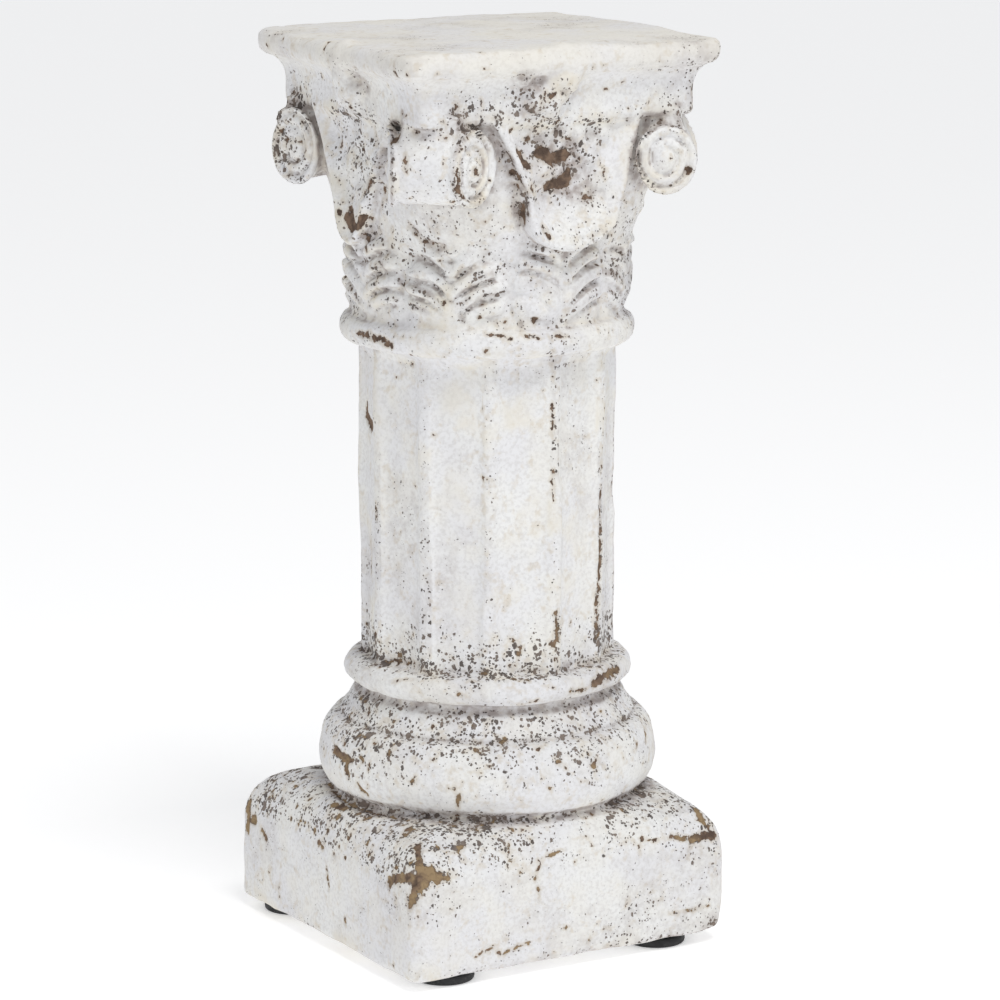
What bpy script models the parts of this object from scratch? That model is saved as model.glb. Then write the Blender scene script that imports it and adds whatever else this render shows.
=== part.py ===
"""A small cast ornamental column on four rubber foot pads.

The casting is one piece: a square plinth with a domed top, a torus and ring
base, a fluted shaft, a bell with acanthus leaves, four corner volutes and a
square abacus. Metres, +Z up, origin on the ground under the middle.
"""

import math

import bpy
import bmesh
from mathutils import Vector

# Rubber foot pads
PAD_RADIUS = 0.0105
PAD_THICKNESS = 0.0032
PAD_EDGE_ROUND = 0.0006
PAD_SEGMENTS = 16
PAD_GAP = 0.0003
# How far in from the plinth's sides each pad was stuck on, along X and Y, a little unevenly
PAD_INSETS = {
    "front_left": (0.0202, 0.0119),
    "front_right": (0.0195, 0.0125),
    "back_left": (0.0125, 0.0140),
    "back_right": (0.0135, 0.0155),
}
PAD_CORNERS = {
    "front_left": (-1, -1),
    "front_right": (1, -1),
    "back_left": (-1, 1),
    "back_right": (1, 1),
}

# Plinth: a square casting whose back left corner bulges out
PLINTH_WIDTH = 0.125
PLINTH_BULGE_X = 0.0029
PLINTH_BULGE_Y = 0.0023
PLINTH_WALL_HEIGHT = 0.034
PLINTH_DOME_RISE = 0.0155
PLINTH_CORNER_RADIUS = 0.0042
PLINTH_BOTTOM_ROUND = 0.0025
# Rings of the domed top: share of the way in to the torus, and share of the rise
DOME_STEPS = ((0.06, 0.28), (0.20, 0.60), (0.45, 0.83), (0.78, 0.96), (1.0, 1.0))

# The column stands a little off the middle of its plinth
COLUMN_SHIFT_X = 0.0024
COLUMN_SHIFT_Y = -0.0017

# Base mouldings, from the plinth up
TORUS_RADIUS = 0.0598
TORUS_HEIGHT = 0.0265
TORUS_SWELL = 0.0122
TORUS_FOOT_ANGLE = -75
TORUS_TOP_ANGLE = 50
TORUS_STEPS = 6
SCOTIA_HEIGHT = 0.0115
# Rings of the scotia: share of the way in to its neck, and share of its height
SCOTIA_STEPS = ((0.0, 0.08), (0.55, 0.40), (1.0, 1.0))
LOWER_RING_RADIUS = 0.0503
LOWER_RING_HEIGHT = 0.0110
LOWER_RING_SWELL = 0.0032
RING_TURN = 85
RING_STEPS = 4

# Turn of the flutes and leaves about the axis, against the square plinth and abacus
CARVING_TURN = 3.0

# Shaft
SHAFT_RADIUS = 0.0447
SHAFT_LENGTH = 0.1105
FLUTE_COUNT = 12
FLUTE_DEPTH = 0.0026
FLUTE_STEPS = 5
ARRIS_SHARE = 0.22

# Bell of the capital
UPPER_RING_RADIUS = 0.0511
UPPER_RING_HEIGHT = 0.0100
UPPER_RING_SWELL = 0.0036
UPPER_RING_TOP_ANGLE = 62
BELL_RADIUS = 0.0485
BELL_SQUARE_WIDTH = 0.1000
BELL_HEIGHT = 0.0705
BELL_ROUND_SHARE = 0.33
BELL_FLARE_POWER = 0.57
BELL_CORNER_POWER = 7.0
# Heights of the bell's rings, as shares of its height
BELL_STEPS = (0.02, 0.33, 0.37, 0.46, 0.62, 0.80, 1.0)

# Acanthus leaves on the bell
FACE_LEAF_HEIGHT = 0.0265
CORNER_LEAF_HEIGHT = 0.0285
LEAF_HALF_ANGLE = 21.0
LEAF_RELIEF = 0.0024
LEAF_CLIMB = 0.0060
LEAF_TIP_CURL = 0.0012
LEAF_TAPER = 0.55
LEAF_NOTCH = 0.80
LEAF_TIP_SHARE = 0.30
LOBE_PITCH = 0.0067
# Places across a leaf from edge to edge, and the relief from an edge to the midrib
LEAF_ACROSS = (-1.0, -0.55, -0.16, 0.0, 0.16, 0.55, 1.0)
LOBE_PROFILE = [0.75, 1.30, 0.80, 1.30]
NOTCH_PROFILE = [0.05, 0.40, 0.55, 1.30]
TIP_PROFILE = [0.10, 0.50, 0.70, 0.80]

# Hanging leaf in the middle of each side
TONGUE_WIDTH = 0.0470
TONGUE_DROP = 0.0440
TONGUE_BEVEL = 0.0012
TONGUE_LIP = 0.0016
TONGUE_ROOT = 0.0090
# Rings down the leaf: share of the drop, share of the width, share of the lip
TONGUE_STEPS = ((0.0, 1.0, 0.0), (0.45, 0.66, 0.0), (0.82, 0.46, 0.4), (0.95, 0.34, 1.0), (1.0, 0.16, 0.7))

# Corner volutes
VOLUTE_RADIUS = 0.0127
VOLUTE_REACH = 0.0745
VOLUTE_WIDTH = 0.0216
VOLUTE_SPLAY = 17
VOLUTE_DROP = 0.0155
VOLUTE_FLATTENING = 0.87
VOLUTE_SEGMENTS = 18
NECK_WIDTH = 0.0165
NECK_ROOT = 0.0400
SCROLL_OUTER_SHARE = 0.84
SCROLL_INNER_SHARE = 0.28
SCROLL_TURNS = 1.5
SCROLL_STEPS = 11
SCROLL_HALF_WIDTH = 0.0014
SCROLL_RELIEF = 0.0013
EYE_RADIUS = 0.0024
EYE_RELIEF = 0.0016
EYE_SIDES = 6

# Abacus
BAND_WIDTH = 0.1066
BAND_HEIGHT = 0.0112
CAVETTO_HEIGHT = 0.0038
CAVETTO_REACH = 0.0025
CAVETTO_STEP_SHARE = 0.35
SLAB_WIDTH = 0.1186
SLAB_HEIGHT = 0.0115
SLAB_ROUND = 0.0018
ABACUS_CORNER_RADIUS = 0.0025

# Flower on each side of the abacus
FLOWER_RADIUS = 0.0085
FLOWER_STRETCH = 1.60
FLOWER_RELIEF = 0.0056
FLOWER_PETALS = 5
# Rings of the flower: share of its radius, depth of the scallops, share of its relief
FLOWER_STEPS = ((1.0, 0.22, -0.4), (0.95, 0.22, 0.6), (0.55, 0.12, 0.8), (0.3, 0.0, 1.15))
FLOWER_OFFSET = -0.0025
FLOWER_LEVEL = 0.43

# How finely the round and square stretches are faceted
TURNED_SEGMENTS = 48
BELL_SEGMENTS = 48
SIDE_STEPS = 4
CORNER_STEPS = 3
ROUND_STEPS = 3
SINK = 0.0015

# Heights of the seams between the stretches
GROUND = 0.0
UNDERSIDE = GROUND + PAD_THICKNESS + PAD_GAP
WALL_TOP = UNDERSIDE + PLINTH_WALL_HEIGHT
PLINTH_TOP = WALL_TOP + PLINTH_DOME_RISE
TORUS_TOP = PLINTH_TOP + TORUS_HEIGHT
SCOTIA_TOP = TORUS_TOP + SCOTIA_HEIGHT
SHAFT_FOOT = SCOTIA_TOP + LOWER_RING_HEIGHT
SHAFT_HEAD = SHAFT_FOOT + SHAFT_LENGTH
BELL_FOOT = SHAFT_HEAD + UPPER_RING_HEIGHT
BAND_FOOT = BELL_FOOT + BELL_HEIGHT
CAVETTO_FOOT = BAND_FOOT + BAND_HEIGHT
SLAB_FOOT = CAVETTO_FOOT + CAVETTO_HEIGHT
COLUMN_TOP = SLAB_FOOT + SLAB_HEIGHT
VOLUTE_LEVEL = BAND_FOOT - VOLUTE_DROP

SIDE_ANGLES = (0, 90, 180, 270)
CORNER_ANGLES = (45, 135, 225, 315)
SMOOTH_LIMIT = 38
FLAT_LIMIT = 0.5


def mix(start, end, share):
    """Value that lies the given share of the way from start to end."""
    return start + (end - start) * share


def outward(angle):
    """Level unit vector at an angle in degrees, 0 being the front and 90 the +X side."""
    turn = math.radians(angle)
    return Vector((math.sin(turn), -math.cos(turn), 0.0))


def sideways(angle):
    """Level unit vector to the right of someone who faces that side."""
    turn = math.radians(angle)
    return Vector((math.cos(turn), math.sin(turn), 0.0))


def new_object(name, bm):
    """Object from a bmesh, its faces turned outward."""
    bmesh.ops.recalc_face_normals(bm, faces=bm.faces)
    mesh = bpy.data.meshes.new(name)
    bm.to_mesh(mesh)
    bm.free()
    thing = bpy.data.objects.new(name, mesh)
    bpy.context.scene.collection.objects.link(thing)
    return thing


def loft(name, rings):
    """Closed solid through rings of equal length, capped at both ends."""
    bm = bmesh.new()
    rows = [[bm.verts.new(point) for point in ring] for ring in rings]
    count = len(rows[0])
    for low, high in zip(rows, rows[1:]):
        for i in range(count):
            j = (i + 1) % count
            bm.faces.new((low[i], low[j], high[j], high[i]))
    bm.faces.new(list(reversed(rows[0])))
    bm.faces.new(rows[-1])
    bmesh.ops.triangulate(bm, faces=bm.faces)
    return new_object(name, bm)


def sweep(name, points, normals, half_widths, half_heights, sides):
    """Rib along a line of points: wide across it, high along the normals."""
    rings = []
    last = len(points) - 1
    for i, point in enumerate(points):
        along = (points[min(i + 1, last)] - points[max(i - 1, 0)]).normalized()
        across = along.cross(normals[i]).normalized()
        rise = across.cross(along)
        ring = []
        for k in range(sides):
            turn = 2 * math.pi * (k / sides + 0.25)
            offset = across * half_widths[i] * math.cos(turn) + rise * half_heights[i] * math.sin(turn)
            ring.append(point + offset)
        rings.append(ring)
    return loft(name, rings)


def circle_ring(radius, height, segments):
    """Level ring of points about the axis."""
    return [outward(360 * i / segments) * radius + Vector((0, 0, height)) for i in range(segments)]


def square_ring(half_width, corner_radius, height, side_steps=1):
    """Level ring around a square with rounded corners."""
    ring = []
    flat = half_width - corner_radius
    for angle in SIDE_ANGLES:
        for i in range(side_steps):
            slide = mix(-flat, flat, i / side_steps)
            ring.append(outward(angle) * half_width + sideways(angle) * slide)
        centre = (outward(angle) + sideways(angle)) * flat
        for i in range(CORNER_STEPS):
            ring.append(centre + outward(angle + 90 * i / CORNER_STEPS) * corner_radius)
    return [point + Vector((0, 0, height)) for point in ring]


def plinth_ring(inset, height):
    """Ring around the plinth, drawn out toward its bulging corner and centred on the origin."""
    half = PLINTH_WIDTH / 2
    ring = []
    for point in square_ring(half - inset, PLINTH_CORNER_RADIUS, height, SIDE_STEPS):
        pull = (1 - point.x / half) / 2 * (1 + point.y / half) / 2
        bulge = Vector((-PLINTH_BULGE_X, PLINTH_BULGE_Y, 0.0))
        ring.append(point + bulge * pull - bulge / 2)
    return ring


def rounded_toward_torus(ring, radius, share):
    """The ring with each point moved a share of the way to the circle where the torus starts."""
    middle = Vector((COLUMN_SHIFT_X, COLUMN_SHIFT_Y, 0.0))
    moved = []
    for point in ring:
        level = Vector((point.x, point.y, 0.0)) - middle
        level = level.lerp(level.normalized() * radius, share) + middle
        moved.append(Vector((level.x, level.y, point.z)))
    return moved


def make_plinth():
    """Square block with a rounded foot and a top that swells up to the torus."""
    rings = []
    for i in range(ROUND_STEPS + 1):
        turn = math.radians(90 * i / ROUND_STEPS)
        inset = PLINTH_BOTTOM_ROUND * (1 - math.sin(turn))
        lift = PLINTH_BOTTOM_ROUND * (1 - math.cos(turn))
        rings.append(plinth_ring(inset, UNDERSIDE + lift))
    rings.append(plinth_ring(0.0, WALL_TOP))
    foot_radius = TORUS_RADIUS - TORUS_SWELL * (1 - math.cos(math.radians(TORUS_FOOT_ANGLE)))
    for share, rise in DOME_STEPS:
        ring = plinth_ring(0.0, WALL_TOP + PLINTH_DOME_RISE * rise)
        rings.append(rounded_toward_torus(ring, foot_radius, share))
    return loft("plinth", rings)


def swell(foot, head, radius, depth, start, end, steps):
    """Rounded moulding from foot to head, as (radius, height) points on an oval."""
    low = math.sin(math.radians(start))
    high = math.sin(math.radians(end))
    points = []
    for i in range(steps + 1):
        turn = math.radians(mix(start, end, i / steps))
        share = (math.sin(turn) - low) / (high - low)
        points.append((radius - depth * (1 - math.cos(turn)), mix(foot, head, share)))
    return points


def make_base():
    """Torus, scotia and lower ring, turned about the axis."""
    torus_head = TORUS_TOP - SINK
    profile = swell(PLINTH_TOP, torus_head, TORUS_RADIUS, TORUS_SWELL,
                    TORUS_FOOT_ANGLE, TORUS_TOP_ANGLE, TORUS_STEPS)
    profile.insert(0, (profile[0][0], PLINTH_TOP - 2 * SINK))
    neck = LOWER_RING_RADIUS - LOWER_RING_SWELL
    lip = profile[-1][0]
    for share, height in SCOTIA_STEPS:
        profile.append((mix(lip, neck, share), mix(torus_head, SCOTIA_TOP, height)))
    ring = swell(SCOTIA_TOP, SHAFT_FOOT, LOWER_RING_RADIUS, LOWER_RING_SWELL,
                 -RING_TURN, RING_TURN, RING_STEPS)
    profile += ring[1:]
    return loft("base", [circle_ring(r, z, TURNED_SEGMENTS) for r, z in profile])


def shaft_ring(height):
    """Ring around the fluted shaft: flat arrises with scooped flutes between them."""
    pitch = 360 / FLUTE_COUNT
    ring = []
    for flute in range(FLUTE_COUNT):
        start = CARVING_TURN + flute * pitch
        for i in range(FLUTE_STEPS + 1):
            across = i / FLUTE_STEPS
            angle = start + pitch * mix(ARRIS_SHARE / 2, 1 - ARRIS_SHARE / 2, across)
            depth = FLUTE_DEPTH * math.sqrt(max(0.0, math.sin(math.pi * across)))
            ring.append(outward(angle) * (SHAFT_RADIUS - depth) + Vector((0, 0, height)))
    return ring


def make_shaft():
    """Fluted shaft, running a little way into the rings at both ends."""
    return loft("shaft", [shaft_ring(SHAFT_FOOT - SINK), shaft_ring(SHAFT_HEAD + SINK)])


def bell_radius(angle, height):
    """Reach of the bell: round below, growing square toward the abacus."""
    share = (height - BELL_FOOT) / BELL_HEIGHT
    turn = math.radians(angle)
    power = BELL_CORNER_POWER
    spread = abs(math.cos(turn)) ** power + abs(math.sin(turn)) ** power
    square_radius = BELL_SQUARE_WIDTH / 2 / spread ** (1 / power)
    flare = max(0.0, (share - BELL_ROUND_SHARE) / (1 - BELL_ROUND_SHARE)) ** BELL_FLARE_POWER
    return mix(BELL_RADIUS, square_radius, flare)


def on_bell(angle, height, proud=0.0):
    """Point on the bell, or the given distance proud of it."""
    return outward(angle) * (bell_radius(angle, height) + proud) + Vector((0, 0, height))


def make_bell():
    """Upper ring and the plain bell that carries the carving."""
    profile = swell(SHAFT_HEAD, BELL_FOOT, UPPER_RING_RADIUS, UPPER_RING_SWELL,
                    -RING_TURN, UPPER_RING_TOP_ANGLE, RING_STEPS)
    rings = [circle_ring(r, z, BELL_SEGMENTS) for r, z in profile]
    for share in BELL_STEPS:
        height = BELL_FOOT + BELL_HEIGHT * share + (SINK if share == 1.0 else 0.0)
        rings.append([on_bell(360 * i / BELL_SEGMENTS, height) for i in range(BELL_SEGMENTS)])
    return loft("bell", rings)


def leaf_row(angle, foot, half_angle, climb, reliefs):
    """Cross-section of a leaf: its face from edge to edge, then two points inside the bell."""
    ring = []
    for across, relief in zip(LEAF_ACROSS, reliefs + reliefs[-2::-1]):
        height = foot + climb * abs(across)
        ring.append(on_bell(angle + half_angle * across, height, relief))
    for across in (1, -1):
        ring.append(on_bell(angle + half_angle * across, foot + climb, -2 * SINK))
    return ring


def make_leaf(angle, leaf_height):
    """Low leaf on the bell: a raised midrib, lobes that climb outward and a curled tip."""
    lobes = max(1, round((leaf_height - LEAF_CLIMB) / LOBE_PITCH))
    rows = 2 * lobes
    rings = []
    for row in range(rows + 1):
        share = row / (rows + 1)
        lobed = row % 2 == 1
        narrowing = 1.0 - LEAF_TAPER * share ** 2
        half_angle = LEAF_HALF_ANGLE * narrowing * (1.0 if lobed else LEAF_NOTCH)
        profile = LOBE_PROFILE if lobed else NOTCH_PROFILE
        curl = LEAF_TIP_CURL * share ** 3
        reliefs = [LEAF_RELIEF * size + curl for size in profile]
        foot = BELL_FOOT + mix(-SINK, leaf_height, share)
        rings.append(leaf_row(angle, foot, half_angle, LEAF_CLIMB * narrowing, reliefs))
    reliefs = [LEAF_RELIEF * size + LEAF_TIP_CURL for size in TIP_PROFILE]
    rings.append(leaf_row(angle, BELL_FOOT + leaf_height, LEAF_HALF_ANGLE * LEAF_TIP_SHARE, 0.0, reliefs))
    return loft("leaf", rings)


def make_tongue(angle):
    """Hanging leaf: a tapering panel from the band down to a curled lip."""
    back = BELL_RADIUS - TONGUE_ROOT
    bevel = TONGUE_BEVEL
    rings = []
    for share, width, lip in TONGUE_STEPS:
        half = TONGUE_WIDTH * width / 2
        height = mix(BAND_FOOT + SINK, BAND_FOOT - TONGUE_DROP, share)
        front = BAND_WIDTH / 2 + TONGUE_LIP * lip
        outline = ((-half, back), (-half, front - bevel), (-half + bevel, front),
                   (half - bevel, front), (half, front - bevel), (half, back))
        rings.append([sideways(angle) * x + outward(angle) * y + Vector((0, 0, height))
                      for x, y in outline])
    return loft("tongue", rings)


def volute_point(angle, side, radius, turn, proud=0.0):
    """Point on a volute's end face, by radius and turn about its centre."""
    centre = VOLUTE_REACH - VOLUTE_RADIUS * VOLUTE_FLATTENING
    reach = centre + radius * VOLUTE_FLATTENING * math.cos(turn)
    height = VOLUTE_LEVEL + radius * math.sin(turn)
    half = VOLUTE_WIDTH / 2 + (VOLUTE_REACH - reach) * math.tan(math.radians(VOLUTE_SPLAY))
    level = outward(angle) * reach + sideways(angle) * side * (half + proud)
    return level + Vector((0, 0, height))


def make_neck(angle):
    """Web that carries a volute from the bell and the abacus underside."""
    tip = VOLUTE_REACH - VOLUTE_RADIUS * VOLUTE_FLATTENING
    half = NECK_WIDTH / 2
    rings = []
    for height in (VOLUTE_LEVEL, BAND_FOOT + SINK):
        outline = ((-half, NECK_ROOT), (-half, tip), (half, tip), (half, NECK_ROOT))
        rings.append([sideways(angle) * x + outward(angle) * y + Vector((0, 0, height))
                      for x, y in outline])
    return loft("neck", rings)


def make_volute(angle):
    """Roller under the abacus corner, with a spiral and an eye on each end."""
    turns = [2 * math.pi * i / VOLUTE_SEGMENTS for i in range(VOLUTE_SEGMENTS)]
    rings = []
    for side in (-1, 1):
        rings.append([volute_point(angle, side, VOLUTE_RADIUS, turn) for turn in turns])
    parts = [loft("roller", rings), make_neck(angle)]
    for side in (-1, 1):
        points = []
        for i in range(SCROLL_STEPS + 1):
            radius = VOLUTE_RADIUS * mix(SCROLL_OUTER_SHARE, SCROLL_INNER_SHARE, i / SCROLL_STEPS)
            turn = math.pi / 2 - 2 * math.pi * SCROLL_TURNS * i / SCROLL_STEPS
            points.append(volute_point(angle, side, radius, turn))
        count = len(points)
        normals = [sideways(angle) * side] * count
        parts.append(sweep("scroll", points, normals, [SCROLL_HALF_WIDTH] * count,
                           [SCROLL_RELIEF] * count, 4))
        ends = [volute_point(angle, side, 0.0, 0.0, proud) for proud in (-SINK, EYE_RELIEF)]
        sizes = [EYE_RADIUS, EYE_RADIUS - EYE_RELIEF / 2]
        parts.append(sweep("eye", ends, [Vector((0, 0, 1))] * 2, sizes, sizes, EYE_SIDES))
    return parts


def make_abacus():
    """Band, cavetto and rounded slab, square on plan."""
    band = BAND_WIDTH / 2
    slab = SLAB_WIDTH / 2
    outline = [(band - SINK, BAND_FOOT), (band, BAND_FOOT + SINK), (band, CAVETTO_FOOT),
               (band + CAVETTO_REACH, CAVETTO_FOOT + CAVETTO_HEIGHT * CAVETTO_STEP_SHARE),
               (band + CAVETTO_REACH, SLAB_FOOT)]
    for i in range(ROUND_STEPS):
        turn = math.radians(90 * i / (ROUND_STEPS - 1))
        outline.append((slab - SLAB_ROUND * (1 - math.sin(turn)),
                        SLAB_FOOT + SLAB_ROUND * (1 - math.cos(turn))))
    for i in range(ROUND_STEPS):
        turn = math.radians(90 * i / (ROUND_STEPS - 1))
        outline.append((slab - SLAB_ROUND * (1 - math.cos(turn)),
                        COLUMN_TOP - SLAB_ROUND * (1 - math.sin(turn))))
    return loft("abacus", [square_ring(half, ABACUS_CORNER_RADIUS, z) for half, z in outline])


def make_flower(angle):
    """Worn flower against the abacus: scalloped petals around a low boss."""
    level = mix(BAND_FOOT, COLUMN_TOP, FLOWER_LEVEL)
    face = BAND_WIDTH / 2
    count = 3 * FLOWER_PETALS
    rings = []
    for size, scallop, proud in FLOWER_STEPS:
        ring = []
        for i in range(count):
            turn = 2 * math.pi * i / count
            radius = FLOWER_RADIUS * size * (1.0 - (scallop if i % 3 == 0 else 0.0))
            x = FLOWER_OFFSET + radius * FLOWER_STRETCH * math.cos(turn)
            level_out = outward(angle) * (face + FLOWER_RELIEF * proud) + sideways(angle) * x
            ring.append(level_out + Vector((0, 0, level + radius * math.sin(turn))))
        rings.append(ring)
    return loft("flower", rings)


def fuse(target, parts):
    """Union the parts into the target and remove them."""
    group = bpy.data.collections.new("fused")
    bpy.context.scene.collection.children.link(group)
    for part in parts:
        group.objects.link(part)
    union = target.modifiers.new("union", "BOOLEAN")
    union.operation = "UNION"
    union.solver = "EXACT"
    union.operand_type = "COLLECTION"
    union.collection = group
    depsgraph = bpy.context.evaluated_depsgraph_get()
    mesh = bpy.data.meshes.new_from_object(target.evaluated_get(depsgraph))
    target.modifiers.clear()
    target.data = mesh
    for part in parts:
        bpy.data.objects.remove(part, do_unlink=True)
    bpy.data.collections.remove(group)


def clean(thing):
    """Merge points that the union left on top of each other, and faces that lie in one plane."""
    bm = bmesh.new()
    bm.from_mesh(thing.data)
    bmesh.ops.remove_doubles(bm, verts=bm.verts, dist=0.00003)
    bmesh.ops.dissolve_degenerate(bm, edges=bm.edges, dist=0.00002)
    bmesh.ops.dissolve_limit(bm, angle_limit=math.radians(FLAT_LIMIT), verts=bm.verts, edges=bm.edges)
    bmesh.ops.triangulate(bm, faces=bm.faces)
    bm.to_mesh(thing.data)
    bm.free()


def make_column():
    """The whole casting as one solid."""
    column = make_plinth()
    column.name = "cast_column"
    parts = [make_base(), make_shaft(), make_bell(), make_abacus()]
    for angle in SIDE_ANGLES:
        parts += [make_leaf(angle + CARVING_TURN, FACE_LEAF_HEIGHT), make_tongue(angle), make_flower(angle)]
    for angle in CORNER_ANGLES:
        parts.append(make_leaf(angle + CARVING_TURN, CORNER_LEAF_HEIGHT))
        parts += make_volute(angle)
    for part in parts:
        part.location = (COLUMN_SHIFT_X, COLUMN_SHIFT_Y, 0.0)
    fuse(column, parts)
    clean(column)
    return column


def make_pad(place):
    """Round rubber pad with a softened lower edge, stuck under one corner."""
    outline = ((PAD_RADIUS - PAD_EDGE_ROUND, 0.0), (PAD_RADIUS, PAD_EDGE_ROUND), (PAD_RADIUS, PAD_THICKNESS))
    rings = [circle_ring(radius, height, PAD_SEGMENTS) for radius, height in outline]
    pad = loft("foot_pad_" + place, rings)
    inset_x, inset_y = PAD_INSETS[place]
    side_x, side_y = PAD_CORNERS[place]
    half = PLINTH_WIDTH / 2
    pad.location = (side_x * (half - inset_x), side_y * (half - inset_y), GROUND)
    return pad


def finish(thing, material):
    """Give an object its material and smooth shading with sharp creases kept."""
    thing.data.materials.clear()
    thing.data.materials.append(material)
    thing.data.shade_smooth()
    thing.data.set_sharp_from_angle(angle=math.radians(SMOOTH_LIMIT))


def make_material(name, color, roughness):
    """Plain surface for one kind of piece."""
    material = bpy.data.materials.new(name)
    material.use_nodes = True
    shader = material.node_tree.nodes["Principled BSDF"]
    shader.inputs["Base Color"].default_value = (*color, 1.0)
    shader.inputs["Roughness"].default_value = roughness
    shader.inputs["Metallic"].default_value = 0.0
    return material


def main():
    for thing in list(bpy.data.objects):
        bpy.data.objects.remove(thing, do_unlink=True)
    plaster = make_material("chalk_painted_cement", (0.80, 0.78, 0.74), 0.85)
    rubber = make_material("black_rubber", (0.015, 0.015, 0.016), 0.70)
    finish(make_column(), plaster)
    for place in PAD_INSETS:
        finish(make_pad(place), rubber)


main()
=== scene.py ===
"""Dressing for the small cast ornamental column.

The casting is sculpted as one distance field and meshed here, with soft worn
edges, carving, dents and chips. Its sizes are the solids' own, but for a few
that were fitted closer to the photograph, such as the rings and the bell. Its
chalky paint, bare cement and pits are painted by nodes. Sizes are millimetres
inside the sculpting functions and metres on the finished pieces.
"""

import math

import bpy
import numpy as np
from mathutils import Matrix, Vector


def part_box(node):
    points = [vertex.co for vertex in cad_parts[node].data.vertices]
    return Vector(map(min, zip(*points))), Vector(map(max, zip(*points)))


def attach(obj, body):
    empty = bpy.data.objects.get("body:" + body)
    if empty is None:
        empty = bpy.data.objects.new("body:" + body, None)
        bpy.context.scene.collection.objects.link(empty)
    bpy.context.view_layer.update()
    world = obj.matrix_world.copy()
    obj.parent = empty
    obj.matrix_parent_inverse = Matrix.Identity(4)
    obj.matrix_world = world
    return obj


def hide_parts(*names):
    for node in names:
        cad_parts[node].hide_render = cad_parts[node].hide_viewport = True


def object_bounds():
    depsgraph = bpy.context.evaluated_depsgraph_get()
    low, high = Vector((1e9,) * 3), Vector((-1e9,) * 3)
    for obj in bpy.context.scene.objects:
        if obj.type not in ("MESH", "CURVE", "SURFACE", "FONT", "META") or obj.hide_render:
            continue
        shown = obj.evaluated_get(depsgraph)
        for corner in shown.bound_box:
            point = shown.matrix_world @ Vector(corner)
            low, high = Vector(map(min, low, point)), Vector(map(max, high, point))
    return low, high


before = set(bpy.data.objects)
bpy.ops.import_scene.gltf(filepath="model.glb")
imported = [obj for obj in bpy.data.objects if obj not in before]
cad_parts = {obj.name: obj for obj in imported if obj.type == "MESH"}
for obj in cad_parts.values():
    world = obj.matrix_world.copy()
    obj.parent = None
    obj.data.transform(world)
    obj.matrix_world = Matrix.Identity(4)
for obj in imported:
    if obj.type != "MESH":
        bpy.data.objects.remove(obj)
cad_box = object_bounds()

MM = 0.001

# Meshing
CELL = 1.0
COARSE = 4.0
FACE_LIMIT = 192000
GRID_LOW = (-64.2, -64.2, 3.0)
GRID_HIGH = (64.2, 64.2, 318.2)
MARGIN = 3.0

# Where the column's axis stands against the middle of the plinth
AXIS_X = 2.4
AXIS_Y = -1.7

# Heights above the ground
UNDERSIDE = 3.5
WALL_TOP = 37.5
PLINTH_TOP = 53.0
SHAFT_FOOT = 100.5
SHAFT_HEAD = 212.5
BELL_FOOT = 222.5
BAND_FOOT = 293.0
COLUMN_TOP = 319.5

# Plinth
PLINTH_HALF = 62.5
BULGE_X = 2.9
BULGE_Y = 2.3
PLINTH_CORNER = 4.6
DOME_SHARES = (0.0, 0.03, 0.08, 0.20, 0.45, 0.78, 1.0)
DOME_RISES = (0.0, 0.16, 0.33, 0.61, 0.84, 0.965, 1.0)
TORUS_FOOT_RADIUS = 51.0

# Turned outline of the base, as radius and height
BASE_OUTLINE = (
    (0.0, 44.0), (50.0, 44.0), (51.5, 52.2), (56.8, 56.0), (59.2, 60.5), (59.7, 64.5),
    (59.3, 68.0), (58.6, 71.5), (58.1, 73.6), (57.0, 75.6), (55.8, 77.2), (54.3, 78.6),
    (51.6, 79.4), (52.0, 80.6), (50.5, 82.2), (49.2, 84.2), (48.3, 86.2), (47.0, 88.0),
    (45.2, 89.3), (45.2, 90.7), (48.2, 91.4), (50.1, 93.2), (50.7, 95.6), (50.2, 97.8),
    (48.9, 99.4), (46.8, 100.4), (44.0, 100.7), (0.0, 100.7))
# Turned outline of the upper ring and the foot of the bell
RING_OUTLINE = (
    (0.0, 208.0), (43.0, 208.0), (44.6, 211.4), (48.6, 212.0), (50.8, 213.5), (51.6, 216.0),
    (51.4, 218.4), (50.2, 220.6), (48.0, 221.8), (46.0, 222.3), (46.4, 224.6), (46.6, 232.0), (0.0, 232.0))
TABLE_STEP = 0.25
TABLE_MARGIN = 14

# Shaft
SHAFT_RADIUS = 44.7
FLUTE_PITCH = 360 / 12
FLUTE_DEPTH = 2.5
ARRIS_HALF = 3.1
CARVING_TURN = 2.0

# Bell
BELL_RADIUS = 46.9
BELL_SQUARE_HALF = 49.5
BELL_ROUND_SHARE = 0.33
BELL_FLARE_POWER = 0.60
BELL_CORNER_POWER = 7.0

# Leaves
LEAF_HALF = 17.0
LEAF_RELIEF = 3.7
LOBE_PITCH = 6.9
LOBE_CLIMB = 8.0
LEAF_TOP = 33.0
GROOVE_WIDTH = 1.0
GROOVE_DEPTH = 1.7

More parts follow.
